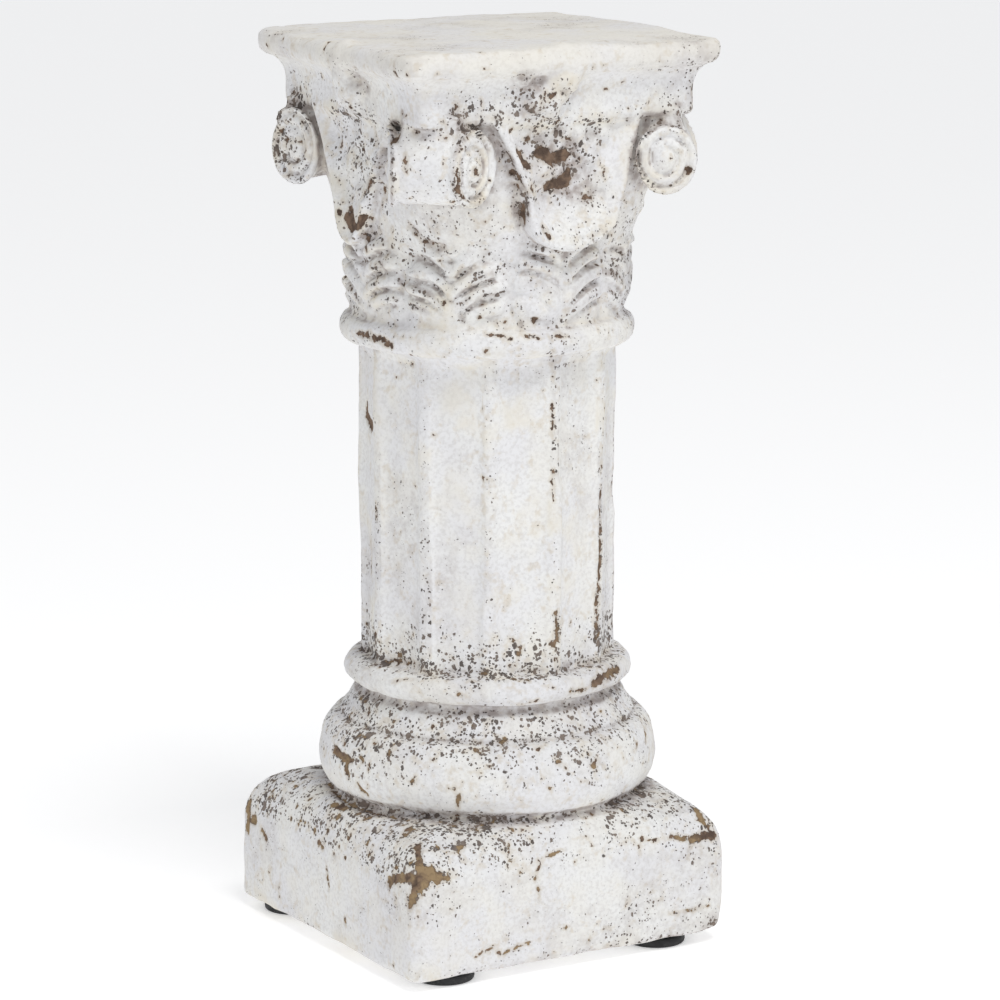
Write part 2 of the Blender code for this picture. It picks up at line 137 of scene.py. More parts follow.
# Hanging leaf: reach of its left and right edges at each level, by side
TONGUE_LEVELS = (293.5, 281.0, 269.0, 256.0, 251.5, 249.0, 247.6)
TONGUE_EDGES = {
    0.0: ((28.5, 20.0, 15.3, 13.0, 9.5, 4.0, -2.0), (31.0, 27.5, 25.0, 19.5, 14.0, 7.0, 2.0)),
    90.0: ((29.0, 24.0, 20.0, 15.0, 10.0, 5.0, 0.0), (27.5, 20.0, 15.0, 12.0, 9.0, 4.5, 0.5)),
    180.0: ((28.5, 21.0, 16.0, 13.0, 9.0, 4.0, 0.0), (30.0, 25.0, 20.5, 15.0, 10.0, 5.0, 1.0)),
    270.0: ((28.5, 21.0, 15.5, 11.0, 8.5, 6.0, 3.0), (29.0, 21.0, 13.0, 7.5, 5.0, 2.5, -1.0)),
}
TONGUE_FACE = 52.4
TONGUE_LIPS = {0.0: 2.3, 90.0: 2.0, 180.0: 2.3, 270.0: 0.2}
RIM_RISE = 1.3
RIM_PLACE = 1.3
HOLLOW = 2.3

# Volutes
VOLUTE_RADIUS = 12.9
VOLUTE_REACH = 74.7
VOLUTE_HALF = 11.0
VOLUTE_SPLAY = 17.0
VOLUTE_EXTRA_REACH = {45.0: 0.2, 135.0: 0.0, 225.0: 0.0, 315.0: 0.0}
VOLUTE_TWIST = {45.0: 13.0, 135.0: 3.0, 225.0: -11.0, 315.0: 0.0}
VOLUTE_LEVEL = 277.8
VOLUTE_FLATTENING = 0.87
SCROLL_PITCH = 4.3
VOLUTE_SHRINK = {45.0: 1.2, 135.0: 0.3, 225.0: 0.0, 315.0: 0.0}
SCROLL_RELIEF = {45.0: 2.4, 135.0: 2.0, 225.0: 2.6, 315.0: 2.6}
EYE_RADIUS = 2.4
COLLAR_WIDTH = 4.6
COLLAR_RISE = 1.9
COLLAR_EXTRA = 2.2

# Abacus outline, as half-width and height
ABACUS_OUTLINE = (
    (0.0, 291.6), (52.2, 291.6), (53.2, 293.0), (53.3, 297.5), (53.5, 302.2), (54.1, 304.4),
    (55.1, 306.4), (56.6, 308.0), (58.5, 308.6), (60.1, 310.4), (60.6, 313.0), (60.4, 315.8),
    (59.0, 317.6), (0.0, 317.9))
ABACUS_POWER = 26.0
ABACUS_TURN = -1.6
TOP_TILT = (0.018, 0.005)

# Flower on each side: lumps as place across, height, half-width, half-height and reach
FLOWERS = {
    0.0: ((2.0, 312.4, 9.5, 5.8, 61.8), (-6.5, 300.6, 8.2, 7.6, 59.2), (-1.0, 306.5, 7.5, 5.0, 60.4),
          (-15.5, 306.5, 3.5, 3.0, 58.6)),
    90.0: ((-2.0, 312.0, 9.0, 5.5, 61.6), (-4.5, 301.0, 8.5, 7.8, 58.8), (-1.0, 306.5, 7.0, 5.0, 60.0)),
    180.0: ((1.0, 312.3, 9.5, 5.6, 61.8), (3.5, 300.6, 8.5, 7.6, 58.9), (1.0, 306.5, 7.5, 5.0, 60.1)),
    270.0: ((6.0, 312.0, 8.5, 5.6, 62.4), (6.0, 300.8, 9.0, 8.0, 59.2), (5.0, 306.5, 8.0, 6.0, 60.4)),
}
FLOWER_DEPTH = 6.5

# Dents in the casting: place, radius and depth
DENTS = (
    ((41.6, -23.8, 157.5), 9.0, 1.9), ((41.6, -23.8, 110.5), 6.0, 1.1), ((-37.5, 22.0, 140.0), 7.0, 0.8),
    ((55.0, -60.5, 312.0), 7.0, 0.8), ((-10.0, 59.0, 315.0), 9.0, 0.9), ((62.0, 20.0, 30.0), 10.0, 0.8),
    ((62.0, -62.0, 6.0), 11.0, 1.8), ((-20.0, -62.0, 315.0), 12.0, 0.7),
)

# Bare places as strokes, parted by semicolons: each is a half-width, then x y z of the points along it
PLINTH_CHIPS = """
1.4 -52 -50.5 47.5 -55 -57 45 -57 -60.5 42; 1.7 -61.5 -46 36 -60.5 -54.5 39.5 -59 -61.5 40;
1.9 -61.5 -46 35; 1.4 -60.5 -60 38.5 -60 -62 34.5 -61 -60 30.5; 3.4 -56.5 -62.5 40;
2.4 -55 -61.5 42 -51 -62.5 40; 1 -51 -62.5 40.5 -46 -63.5 38.5; 1.5 -58 -63.5 35.5;
0.5 -61.5 -50.5 31 -61.5 -50.5 28; 1.7 -63.5 58.5 39 -64 57.5 34 -64 58.5 28.5; 2.2 -63.5 53 33.5;
1 -63.5 47.5 32 -63.5 44 28.5; 0.7 -48.5 22 51.5 -52.5 5 50.5 -53 -8.5 50;
0.6 -53 -8.5 50 -51 -19.5 50.5 -47 -30 51 -44.5 -36.5 51; 1.5 -57.5 -4 47; 1.4 -56 3 48.5 -55 -3.5 49;
1 -54.5 -12.5 49; 1 -53.5 -18.5 49; 1.1 -62 8 40.5; 1.2 -62.5 4 37; 1.2 -62.5 1 36; 1.2 -56.5 20 47;
1 -54.5 34.5 47.5; 0.9 -55.5 49.5 46.5; 0.9 -52.5 48 48; 0.8 -59.5 25 44.5; 0.9 -62.5 -7 35.5;
0.8 -62 -15 36.5; 0.8 -62 -10 39.5; 0.9 -58.5 -17 45.5; 0.9 -61.5 -1 42; 0.8 -60 -15 43;
0.7 -61.5 15.5 41.5; 0.7 -62 26 40.5; 0.8 -54.5 -29 47.5; 0.7 -59 -26.5 44.5;
0.2 -34 -49 67.5 -34.5 -47 61 -32.5 -42.5 52.5 -39 -49 50; 1.1 42 -62.5 41 46 -63 40 50 -63 39;
1.7 50.5 -63 39 55.5 -63 39.5 60 -63 39; 1 55.5 -55 46.5 55.5 -59.5 44.5 58.5 -62 41.5;
0.5 49.5 -63.5 37.5 48.5 -63.5 33; 0.4 29.5 -62.5 42 34.5 -63 40.5 41 -62.5 41; 0.9 27 -63 41;
0.5 -12 -63 40.5 -7.5 -63 41.5 -2.5 -62.5 42.5; 0.4 -11 -63 39.5 -12.5 -63.5 37 -14 -63.5 34;
0.3 -37 -63.5 10 -33 -63.5 12 -29 -63.5 12.5;
0.3 -29 -63.5 12.5 -27 -63.5 8.5 -23 -63.5 10.5 -16 -63.5 11.5; 0.9 -1.5 -63.5 15;
0.5 14 -63.5 12 16.5 -63.5 12; 0.6 8 -63.5 8.5; 0.4 23 -63.5 21 23 -63.5 18; 0.6 26 -63.5 13;
0.3 41.5 -63.5 13.5 49 -63.5 13.5 56.5 -63.5 14; 0.7 -20 -63 40; 0.6 -24 -63 40;
0.5 -12.5 -63.5 31 -12 -63.5 28; 0.4 -62.5 -2.5 29.5 -62.5 -4 22.5; 0.5 -62 -15 15.5 -62 -15.5 12.5;
0.4 -25.5 -63.5 16.5 -25 -63.5 14; 0.6 2 -63.5 38; 0.7 13 -55.5 50; 0.7 9.5 -56.5 49.5"""
BASE_CHIPS = """
1.4 -56.5 3.5 70.5 -57 -4.5 69 -56.5 -9.5 69; 1.1 -57 -6.5 68 -56.5 -8 63;
0.5 -54 -7.5 76.5 -52.5 -8.5 78 -52 -12.5 77.5; 0.7 -55 -14 71.5 -55.5 -15.5 70; 0.8 -51.5 -18 76.5;
0.9 -55 -13 61 -53 -16 58.5; 0.9 -56 -3 73.5; 1.2 -2 -60 73.5; 1 11.5 -60 70.5;
0.6 14 -59 72.5 13 -60 70.5; 0.7 10.5 -59 74.5; 0.6 16.5 -59.5 69; 0.4 34 -50 74.5 35 -50.5 71.5;
0.6 43 -40 77 43 -43.5 74 42 -45.5 71; 0.4 -28.5 -47.5 78.5 -25 -50 78; 0.7 -25.5 -53 73;
0.7 -46.5 -35.5 66; 0.6 0 -60.5 71; 1.7 32 -41.5 98 24.5 -46.5 97 18 -49.5 96;
0.7 14 -50.5 94.5 7.5 -51.5 95; 0.8 -30 -40 96; 0.6 0 -51.5 97; 0.6 -13.5 -49 97.5; 0.6 -48 -1.5 95.5;
0.2 -44.5 -19 97.5 -42.5 -22 99.5 -41 -24.5 100;
0.5 -43 -7 102 -40.5 -9 102.5 -38 -14.5 103 -36.5 -22 104; 0.7 -41.5 -7 102;
0.5 -13.5 -44 102 -10.5 -48 101.5 -7.5 -49 101; 0.9 4 -46.5 105.5; 0.5 -35.5 -25 102 -34 -30.5 102"""
SHAFT_CHIPS = """
0.8 4.5 -46.5 122 5 -46.5 117.5 5 -46.5 112.5; 0.9 24 -40.5 126 24.5 -40.5 118 25 -40.5 109;
0.95 27 -39 161 26.5 -39.5 151 26 -39.5 138.5; 0.85 26 -39.5 138.5 25.5 -40 126; 0.6 -20 -40.5 110;
0.7 -38.5 14.5 110.5; 1.8 -38 12.5 185.5 -39 6 183; 0.9 -38 11.5 189.5 -38 12.5 186.5;
0.3 -0.5 -52.5 214.5 3 -46.5 204; 0.5 2.5 -46.5 195 3 -46.5 184; 0.4 3 -46.5 172 3 -46.5 161.5;
0.9 -23 -46 215; 0.4 -20.5 -39 170.5 -20.5 -40 167.5; 0.4 -42 -2.5 157 -42 -2.5 151.5;
0.5 -38.5 8.5 135 -38.5 8.5 129.5; 0.4 -41 -26 211.5 -36.5 -19 208"""
CAPITAL_CHIPS = """
0.9 -48.5 -3.5 217 -47.5 -10.5 217.5; 1.2 -47.5 -12 217 -46 -17 216.5 -45 -20 215.5;
0.5 -22.5 -45.5 220.5 -18.5 -47.5 220 -15 -49.5 219; 0.6 -10.5 -50.5 219.5 -5.5 -52 219.5;
0.6 -1.5 -52 218.5 4.5 -52.5 219.5; 1 -11 -48.5 223.5; 1.2 -6 -49.5 224.5; 0.7 -24 -44 225.5;
0.6 -15.5 -46.5 224; 0.6 -18.5 -45.5 224; 0.7 19.5 -47 242; 0.6 -1 -52.5 245; 0.6 8.5 -51 238.5;
0.7 -21.5 -48 260; 0.7 -23.5 -47.5 258.5; 0.6 -46.5 7.5 232.5 -47 5.5 231.5;
0.9 -56 -49.5 315.5 -56 -50 311; 0.7 -56 49 312; 0.7 -56 37 314.5; 0.6 -56 -14.5 314; 0.6 -56 -5.5 315;
0.3 -56 2.5 315 -56 2 313.5; 0.7 -56 -20 310.5; 0.6 -32 -60 311.5; 0.4 -50 -41.5 296.5 -46.5 -36 291;
0.6 -47.5 -45 290; 0.7 -47.5 28.5 287.5 -48 25 283.5 -47.5 23.5 277.5;
0.9 -46 24.5 275 -45 23.5 270.5 -44.5 21.5 263.5; 1.1 -44 22 261 -50.5 6.5 257.5;
2.3 -51 1.5 257 -51.5 -3 253.5; 1.9 -51 -6.5 255 -50 -10.5 257; 0.8 -48 -12 256.5;
0.8 -50 -15.5 271 -50 -11.5 266 -50.5 -6.5 261.5; 1.5 -46 21.5 267 -46 17 261 -48 11 257.5;
1.2 -50 2 260 -50.5 -2 256; 0.8 -54 -42 289 -56 -43 287; 0.4 -54.5 -47.5 284 -55 -49.5 277.5;
0.6 -32.5 -56.5 289.5 -39 -59.5 287.5 -41.5 -61.5 282; 0.6 -41.5 -61.5 282 -42 -62 276.5 -41 -61 271.5;
1.4 -33 -58.5 277.5; 0.9 -42 -61 272 -38 -59.5 269; 0.8 -37 -59 268.5 -30.5 -55.5 267; 0.7 -35.5 -58 284;
0.7 -29 -55.5 281; 0.6 -25 -52.5 273.5; 2.3 -5.5 -54 281 -0.5 -54 279 4 -54 279.5;
2.3 -1.5 -54 269.5 3.5 -54 270 7.5 -54 273.5; 1.1 7 -54 273 10 -54 275.5; 1.8 -13.5 -54 282.5 -11 -54 278;
1.2 -10 -54 286.5; 1 -15 -50.5 275.5; 1.1 -13.5 -50.5 270.5;
0.7 -18 -51 281.5 -14 -52 276.5 -11 -53.5 269.5; 0.7 -17.5 -54 289.5; 0.7 0 -54 288; 1.4 31 -53.5 280;
0.9 34.5 -56.5 283; 1.2 34.5 -55 275; 0.8 29 -52 284.5; 1.4 46.5 -61.5 273.5;
0.7 52.5 -56.5 281 51.5 -58 278; 0.7 40.5 -59.5 278; 0.7 40 -54.5 290; 0.7 49 -51.5 289; 0.6 32.5 -54 287;
0.7 26 -50 273.5; 0.9 24 -49.5 268.5; 0.7 26.5 -54 294.5; 0.6 17.5 -54 302; 0.6 8.5 -60 311;
0.6 -17 -59.5 308.5; 0.6 -5 -58.5 301.5 -7 -57.5 300; 0.6 52.5 -59.5 317; 0.6 34.5 -60 312;
0.4 52 -54 301 52 -53.5 294; 0.8 29.5 -48 264.5; 1.5 -10.5 -50.5 264 -9 -50 259.5;
0.8 -6.5 -54.5 256.5 -4.5 -55.5 253; 0.8 -43 -27.5 256 -40 -31 251; 0.9 -40 -31 251 -36.5 -38 248.5;
0.7 -36 -36 244.5; 0.5 -48 -13 244.5 -46 -15.5 238.5; 0.5 12 -54.5 265 14 -54.5 266"""
# Carved grooves of the leaves in view, in the same form, and how they are cut
GROOVE_LEAST = 0.8
GROOVE_CUT = 1.4
GROOVE_SPREAD = 0.9
LEAF_GROOVES = """
0.5 -40.5 -29 238.5 -38 -33.5 236.5; 0.6 -38 -33.5 236.5 -35.5 -34.5 231;
0.5 -35.5 -34.5 231 -35.5 -35.5 228.5; 0.5 -42 -21 238 -39 -28.5 236; 0.5 -39 -28.5 236 -36.5 -33 234;
0.5 -43 -20.5 230 -40.5 -26.5 229 -38 -32 227; 0.8 -43 -28 256 -39.5 -32 251 -36 -38.5 248.5;
0.5 -29.5 -40.5 240.5 -26 -44 243 -22 -47 246; 0.6 -26 -43.5 238 -21 -45.5 241 -15 -47 243 -9 -49 243.5;
0.6 -24.5 -43.5 231.5 -20.5 -46 233 -15.5 -46.5 234; 0.5 -30.5 -40.5 226 -29.5 -40 231 -27.5 -41.5 233;
0.5 23.5 -45 238.5 29 -44.5 238 33 -42 235.5; 0.5 21.5 -46.5 232.5 26.5 -45 233 30 -44 231;
0.5 22.5 -46 245 28 -43 241.5; 0.5 -47.5 -13.5 244.5 -46 -14.5 239.5; 0.5 -46.5 6 240.5 -48.5 -6 242;
0.5 -48.5 3.5 228 -48.5 -5.5 227.5; 1 -18 -51 281.5 -14.5 -52 276.5 -11.5 -53.5 269.5 -10.5 -53 262;
0.9 -47.5 26 285 -47.5 23 275 -46 20 264 -47 13 257; 0.8 -50 -15 272 -50.5 -9 264 -50.5 -5 259"""

# Wear
THIN_STROKE = 0.48
REPEAT_SEED = 41
REPEAT_TURN = 0.06
REPEAT_LIFT = 1.5
REPEAT_SHARE = 0.8
CHIP_CUT = 0.75
CHIP_SPREAD = 0.5
VOLUTE_WEAR = {45.0: 0.05, 135.0: 0.35, 225.0: 0.55, 315.0: 0.15}
PIT_CUT = 0.55
BOX_INSET = 0.02
CREASE_REACH = 1.3
HOLLOW_STEPS = (1.6, 3.4, 6.5)

# Pad outline, as shares of its radius and thickness
PAD_OUTLINE = ((0.90, 0.0), (0.955, 0.05), (0.985, 0.16), (1.0, 0.36), (0.998, 0.70),
               (0.985, 0.88), (0.955, 0.97), (0.90, 1.0))
PAD_SEGMENTS = 72

# Bearings of the sides and corners
SIDES = (0.0, 90.0, 180.0, 270.0)
CORNERS = (45.0, 135.0, 225.0, 315.0)

# Camera: place in plinth widths, turns in degrees, focal length in pixels, sensor in millimetres
CAMERA_UNIT = 125.0
CAMERA_AZIMUTH = -29.307
CAMERA_AWAY = 11.392
CAMERA_LEVEL = 3.472
CAMERA_PITCH = 11.262
CAMERA_YAW = 0.225
CAMERA_ROLL = -0.024
CAMERA_FOCAL = 4137.6
PICTURE_WIDTH = 1000
SENSOR_WIDTH = 36.0

# Lights, as place, size, power and colour, in metres and watts, then the surroundings and the floor
KEY = ((-0.02, -0.72, 1.52), 0.55, 8.3, (1.0, 0.992, 0.975))
FILL = ((-0.45, -1.15, 0.45), 0.8, 1.15, (0.97, 0.98, 1.0))
LIT_POINT = (0.0, 0.0, 0.16)
SURROUND_COLOR = (0.97, 0.98, 1.0, 1.0)
SURROUND_GLOW = 0.56
FLOOR_HALF = 12.0
FLOOR_COLOR = (0.90, 0.90, 0.90, 1.0)
FLOOR_GLOW_COLOR = (1.0, 1.0, 1.0, 1.0)
FLOOR_GLOW = 0.36

# Colours, linear
PAINT_WHITE = (0.85, 0.850, 0.838)
PAINT_COOL = (0.80, 0.798, 0.812)
PAINT_CREAM = (0.79, 0.75, 0.665)
PAINT_DULL = (0.60, 0.585, 0.575)
PAINT_STAIN = (0.60, 0.51, 0.38)
# Painted shade, with some dirt, that darkens creases and hollows
CREASE_SHADE_AND_GRIME = (0.36, 0.31, 0.29)
CEMENT = (0.22, 0.150, 0.105)
CEMENT_DARK = (0.105, 0.072, 0.055)
CEMENT_OCHRE = (0.33, 0.235, 0.135)
PIT_DARK = (0.075, 0.058, 0.050)
PIT_BROWN = (0.20, 0.155, 0.125)
RUBBER = (0.012, 0.012, 0.013)
RUBBER_DUST = (0.06, 0.058, 0.055)

NOISE_TABLE = np.random.default_rng(8831).random((32, 32, 32)).astype(np.float32)


def noise(x, y, z, size, seed):
    """Smooth noise from -1 to 1 whose bumps are about the given size across."""
    shift = 7.31 * seed
    total = np.zeros_like(x)
    cells = []
    shares = []
    for values, extra in ((x, shift), (y, 1.7 * shift), (z, 2.3 * shift)):
        scaled = values / size + extra
        low = np.floor(scaled)
        part = (scaled - low).astype(np.float32)
        cells.append(low.astype(np.int64))
        shares.append(part * part * (3 - 2 * part))
    for i in (0, 1):
        weight_x = shares[0] if i else 1 - shares[0]
        for j in (0, 1):
            weight_y = shares[1] if j else 1 - shares[1]
            for k in (0, 1):
                weight_z = shares[2] if k else 1 - shares[2]
                value = NOISE_TABLE[(cells[0] + i) % 32, (cells[1] + j) % 32, (cells[2] + k) % 32]
                total = total + weight_x * weight_y * weight_z * value
    return 2 * total - 1


def soft_min(a, b, width):
    """Smaller of two distances, blended over the given width."""
    blend = np.maximum(width - np.abs(a - b), 0) / width
    return np.minimum(a, b) - blend * blend * width / 4


def soft_max(a, b, width):
    """Larger of two distances, blended over the given width."""
    return -soft_min(-a, -b, width)


def smooth_step(low, high, values):
    """Share from 0 to 1 as the values pass from low to high."""
    share = np.clip((values - low) / (high - low), 0, 1)
    return share * share * (3 - 2 * share)


class Outline:
    """Distance to a closed outline of (reach, height) points, looked up in a table."""

    def __init__(self, points):
        corners = np.array(points)
        self.low = corners.min(axis=0) - TABLE_MARGIN
        size = np.ceil((corners.max(axis=0) + TABLE_MARGIN - self.low) / TABLE_STEP).astype(int) + 1
        reach, height = np.meshgrid(self.low[0] + TABLE_STEP * np.arange(size[0]),
                                    self.low[1] + TABLE_STEP * np.arange(size[1]), indexing="ij")
        nearest = np.full(reach.shape, 1e9)
        inside = np.zeros(reach.shape, bool)
        for start, end in zip(corners, np.roll(corners, -1, axis=0)):
            along = end - start
            length = max(float(along @ along), 1e-12)
            share = np.clip(((reach - start[0]) * along[0] + (height - start[1]) * along[1]) / length, 0, 1)
            gap = (reach - start[0] - share * along[0]) ** 2 + (height - start[1] - share * along[1]) ** 2
            if max(start[0], end[0]) > 0:
                nearest = np.minimum(nearest, gap)
            if start[1] != end[1]:
                crossing = start[0] + (height - start[1]) * along[0] / along[1]
                inside ^= ((height < start[1]) != (height < end[1])) & (reach < crossing)
        self.table = np.where(inside, -1.0, 1.0) * np.sqrt(nearest)

    def distance(self, reach, height):
        """Distance at each place, read between the cells of the table."""
        columns = np.clip((reach - self.low[0]) / TABLE_STEP, 0, self.table.shape[0] - 1.001)
        rows = np.clip((height - self.low[1]) / TABLE_STEP, 0, self.table.shape[1] - 1.001)
        i = columns.astype(int)
        j = rows.astype(int)
        u = columns - i
        v = rows - j
        table = self.table
        return ((table[i, j] * (1 - u) + table[i + 1, j] * u) * (1 - v)
                + (table[i, j + 1] * (1 - u) + table[i + 1, j + 1] * u) * v)


BASE = Outline(BASE_OUTLINE)
RING = Outline(RING_OUTLINE)
ABACUS = Outline(ABACUS_OUTLINE)


def bearing(x, y):
    """Angle in degrees about the axis: 0 is the front, 90 is the +X side."""
    return np.degrees(np.arctan2(x, -y))


def angle_between(angles, middle):
    """Signed difference in degrees, from -180 to 180."""
    return (angles - middle + 180) % 360 - 180


def plinth_distance(x, y, z):
    """Square block, fuller at one corner, with a top that domes up to the torus."""
    pull = np.clip((1 - x / PLINTH_HALF) / 2, 0, 1) * np.clip((1 + y / PLINTH_HALF) / 2, 0, 1)
    across = np.abs(x + BULGE_X * (pull - 0.5))
    deep = np.abs(y - BULGE_Y * (pull - 0.5))
    flat = PLINTH_HALF - PLINTH_CORNER
    over_x = across - flat
    over_y = deep - flat
    wall = np.hypot(np.maximum(over_x, 0), np.maximum(over_y, 0)) - PLINTH_CORNER
    wall = np.where((over_x < 0) & (over_y < 0), np.maximum(over_x, over_y) - PLINTH_CORNER, wall)
    outside = np.maximum(np.hypot(x - AXIS_X, y - AXIS_Y) - TORUS_FOOT_RADIUS, 0)
    inward = np.maximum(-wall, 0)
    share = inward / np.maximum(inward + outside, 0.01)
    rise = np.interp(share, DOME_SHARES, DOME_RISES) * (PLINTH_TOP - WALL_TOP)
    cornered = smooth_step(0.25, 0.75, np.abs(x * y) / PLINTH_HALF ** 2)
    rise = rise + 4 * share * (1 - share) * cornered * (0.9 + 1.9 * pull)
    top = (z - WALL_TOP - rise) * 0.86
    body = soft_max(wall, top, 4.0)
    return soft_max(body, UNDERSIDE - z, 3.5)


def from_arris(angles):
    """Degrees from the nearest arris between two flutes."""
    half = FLUTE_PITCH / 2
    return np.abs((angles - CARVING_TURN + half) % FLUTE_PITCH - half)


def shaft_distance(x, y, z, reach, angles):
    """Fluted shaft."""
    half = FLUTE_PITCH / 2
    lean = noise(x, y, z, 22.0, 1) * 0.5
    across = np.clip((half - from_arris(angles)) / (half - ARRIS_HALF - lean), 0, 1)
    depth = FLUTE_DEPTH * np.sqrt(1 - across ** 3)
    side = reach - SHAFT_RADIUS + depth
    ends = np.abs(z - (SHAFT_FOOT + SHAFT_HEAD) / 2) - (SHAFT_HEAD - SHAFT_FOOT) / 2 - 2
    return soft_max(side * 0.9, ends, 0.6)


def bell_reach(angles, height):
    """Reach of the bare bell: round below, square toward the abacus."""
    share = np.clip((height - BELL_FOOT) / (BAND_FOOT - BELL_FOOT), 0, 1.05)
    turn = np.radians(angles)
    power = BELL_CORNER_POWER
    spread = np.abs(np.cos(turn)) ** power + np.abs(np.sin(turn)) ** power
    square = BELL_SQUARE_HALF / spread ** (1 / power)
    flare = np.maximum(0, (share - BELL_ROUND_SHARE) / (1 - BELL_ROUND_SHARE)) ** BELL_FLARE_POWER
    return BELL_RADIUS + (square - BELL_RADIUS) * flare


def leaf_relief(x, y, angles, height):
    """How far the acanthus leaves stand out of the bell: rounded lobes with curved grooves between."""
    relief = np.zeros_like(angles)
    drift = 2.2 * noise(x, y, height, 12.0, 5)
    strength = 0.82 + 0.55 * noise(x, y, height, 13.0, 6)
    strength = np.clip(strength + 0.3 * np.exp(-(angle_between(angles, -117) / 13) ** 2), 0.08, 1.1)
    level = height - BELL_FOOT + drift
    for index in range(8):
        across = np.radians(angle_between(angles, 45 * index + CARVING_TURN)) * BELL_RADIUS + 0.6 * drift
        side = np.abs(across)
        share = np.clip(side / LEAF_HALF, 0, 1)
        climb = LOBE_CLIMB * (1 - (1 - share) ** 2.3)
        phase = (level - climb) / LOBE_PITCH + 0.17 * index
        lump = np.abs(np.cos(np.pi * phase)) ** 0.75
        from_groove = (phase - np.floor(phase) - 0.5) * LOBE_PITCH
        groove = np.exp(-(from_groove / GROOVE_WIDTH) ** 2)
        crown = LEAF_TOP - 4.0 * (index % 2) - 8.0 * share ** 2
        inside = smooth_step(0, 6.0, crown - level)
        edge = smooth_step(LEAF_HALF + 1.6, LEAF_HALF - 3.6, side - 2.2 * (lump - 0.6))
        body = 0.40 + 0.60 * (1 - strength * (1 - lump))
        leaf = LEAF_RELIEF * body - GROOVE_DEPTH * strength * groove * smooth_step(1.2, 4.0, side)
        leaf = leaf - 0.8 * smooth_step(1.9, 0.4, side)
        relief = np.maximum(relief, leaf * inside * edge)
    return relief * (0.3 + 0.7 * smooth_step(0, 9, height - BELL_FOOT))


def tongue_distance(across, out, z, edges, fullness):
    """Hanging leaf in the middle of a side: a raised rim, a broken hollow face and a fuller lip."""
    down = [-level for level in TONGUE_LEVELS]
    left = across + np.interp(-z, down, edges[0])
    right = np.interp(-z, down, edges[1]) - across
    inner = np.minimum(soft_min(left, right, 3.0) * 0.85, (z - TONGUE_LEVELS[-1]) * 0.9)
    rim = RIM_RISE * np.exp(-((inner - RIM_PLACE) / 1.1) ** 2)
    hollow = HOLLOW * smooth_step(2.2, 7.0, inner) * smooth_step(254, 264, z) * smooth_step(294, 286, z)
    broken = 1.8 * noise(across, out, z, 4.2, 7) + 1.1 * noise(across, out, z, 9.0, 8)
    broken = broken * smooth_step(2.0, 6.0, inner) * smooth_step(259, 268, z) * smooth_step(294, 288, z)
    lip = fullness * smooth_step(265, 252, z)
    front = out - TONGUE_FACE - lip - rim + hollow + broken
    body = soft_max(-inner, front, 0.9)
    return np.maximum(np.maximum(body, 38 - out), z - 294)


def volute_distance(across, out, z, corner):
    """Roller under an abacus corner: flared collars, and a spiral with an eye on each end."""
    centre = VOLUTE_REACH - VOLUTE_RADIUS * VOLUTE_FLATTENING
    twist = math.radians(VOLUTE_TWIST[corner])
    ahead = out - centre - VOLUTE_EXTRA_REACH[corner]
    out = centre + ahead * math.cos(twist) + across * math.sin(twist)
    across = across * math.cos(twist) - ahead * math.sin(twist)
    level = (out - centre) / VOLUTE_FLATTENING
    height = z - VOLUTE_LEVEL
    radius = np.hypot(level, height)
    half = VOLUTE_HALF + (VOLUTE_REACH - out) * math.tan(math.radians(VOLUTE_SPLAY))
    from_end = half + COLLAR_EXTRA * (across < 0) - np.abs(across)
    collar = COLLAR_RISE * smooth_step(COLLAR_WIDTH, 0.5, from_end)
    collar = collar - 0.9 * np.exp(-((from_end - COLLAR_WIDTH + 0.4) / 0.8) ** 2)
    drum = radius - VOLUTE_RADIUS + VOLUTE_SHRINK[corner] + 0.8 - collar
    turn = np.arctan2(height, -level) / (2 * np.pi)
    phase = (VOLUTE_RADIUS - 0.2 - radius) / SCROLL_PITCH + turn
    ridge = np.abs(np.cos(np.pi * phase)) ** 0.8
    cut = SCROLL_RELIEF[corner] * (1 - ridge) * smooth_step(EYE_RADIUS, EYE_RADIUS + 1.5, radius)
    eye = smooth_step(EYE_RADIUS + 0.8, EYE_RADIUS - 1.4, radius)
    ends = -(from_end - cut) * 0.95 - 0.6 * eye
    body = soft_max(drum * 0.95, ends, 1.2)
    neck = np.maximum(np.abs(across) - 10.0, np.maximum(40 - out, out - centre - 5))
    neck = np.maximum(np.maximum(neck, VOLUTE_LEVEL - z), z - 295)
    return soft_min(body, neck, 4.5)


def flower_distance(across, out, z, lumps):
    """Worn flower: soft lumps over the abacus mouldings."""
    field = np.full_like(across, 1e3)
    for place, height, half_width, half_height, reach in lumps:
        side = (across - place) / half_width
        rise = (z - height) / half_height
        turn = np.arctan2(rise, side)
        size = np.hypot(side, rise) / (1 + 0.12 * np.cos(5 * turn + place))
        deep = (out - reach + FLOWER_DEPTH) / FLOWER_DEPTH
        lump = (np.sqrt(size * size + deep * deep) - 1) * min(half_height, FLOWER_DEPTH) * 0.9
        field = soft_min(field, lump, 1.2)
    return field


def column_distance(x, y, z):
    """Distance to the whole casting, before its wear."""
    local_x = x - AXIS_X
    local_y = y - AXIS_Y
    reach = np.hypot(local_x, local_y)
    angles = bearing(local_x, local_y)
    field = plinth_distance(x, y, z)
    field = soft_min(field, BASE.distance(reach, z), 1.5)
    field = soft_min(field, shaft_distance(x, y, z, reach, angles), 0.8)
    field = soft_min(field, RING.distance(reach, z), 1.0)
    high = z > BELL_FOOT - 12
    bell = np.full_like(x, 1e3)
    part = [values[high] for values in (local_x, local_y, z, reach, angles)]
    bell[high] = capital_distance(*part)
    return soft_min(field, bell, 1.0)


def turned(x, y, angle):
    """Reach out of a side of the column and place across it."""
    turn = math.radians(angle)
    return x * math.sin(turn) - y * math.cos(turn), x * math.cos(turn) + y * math.sin(turn)


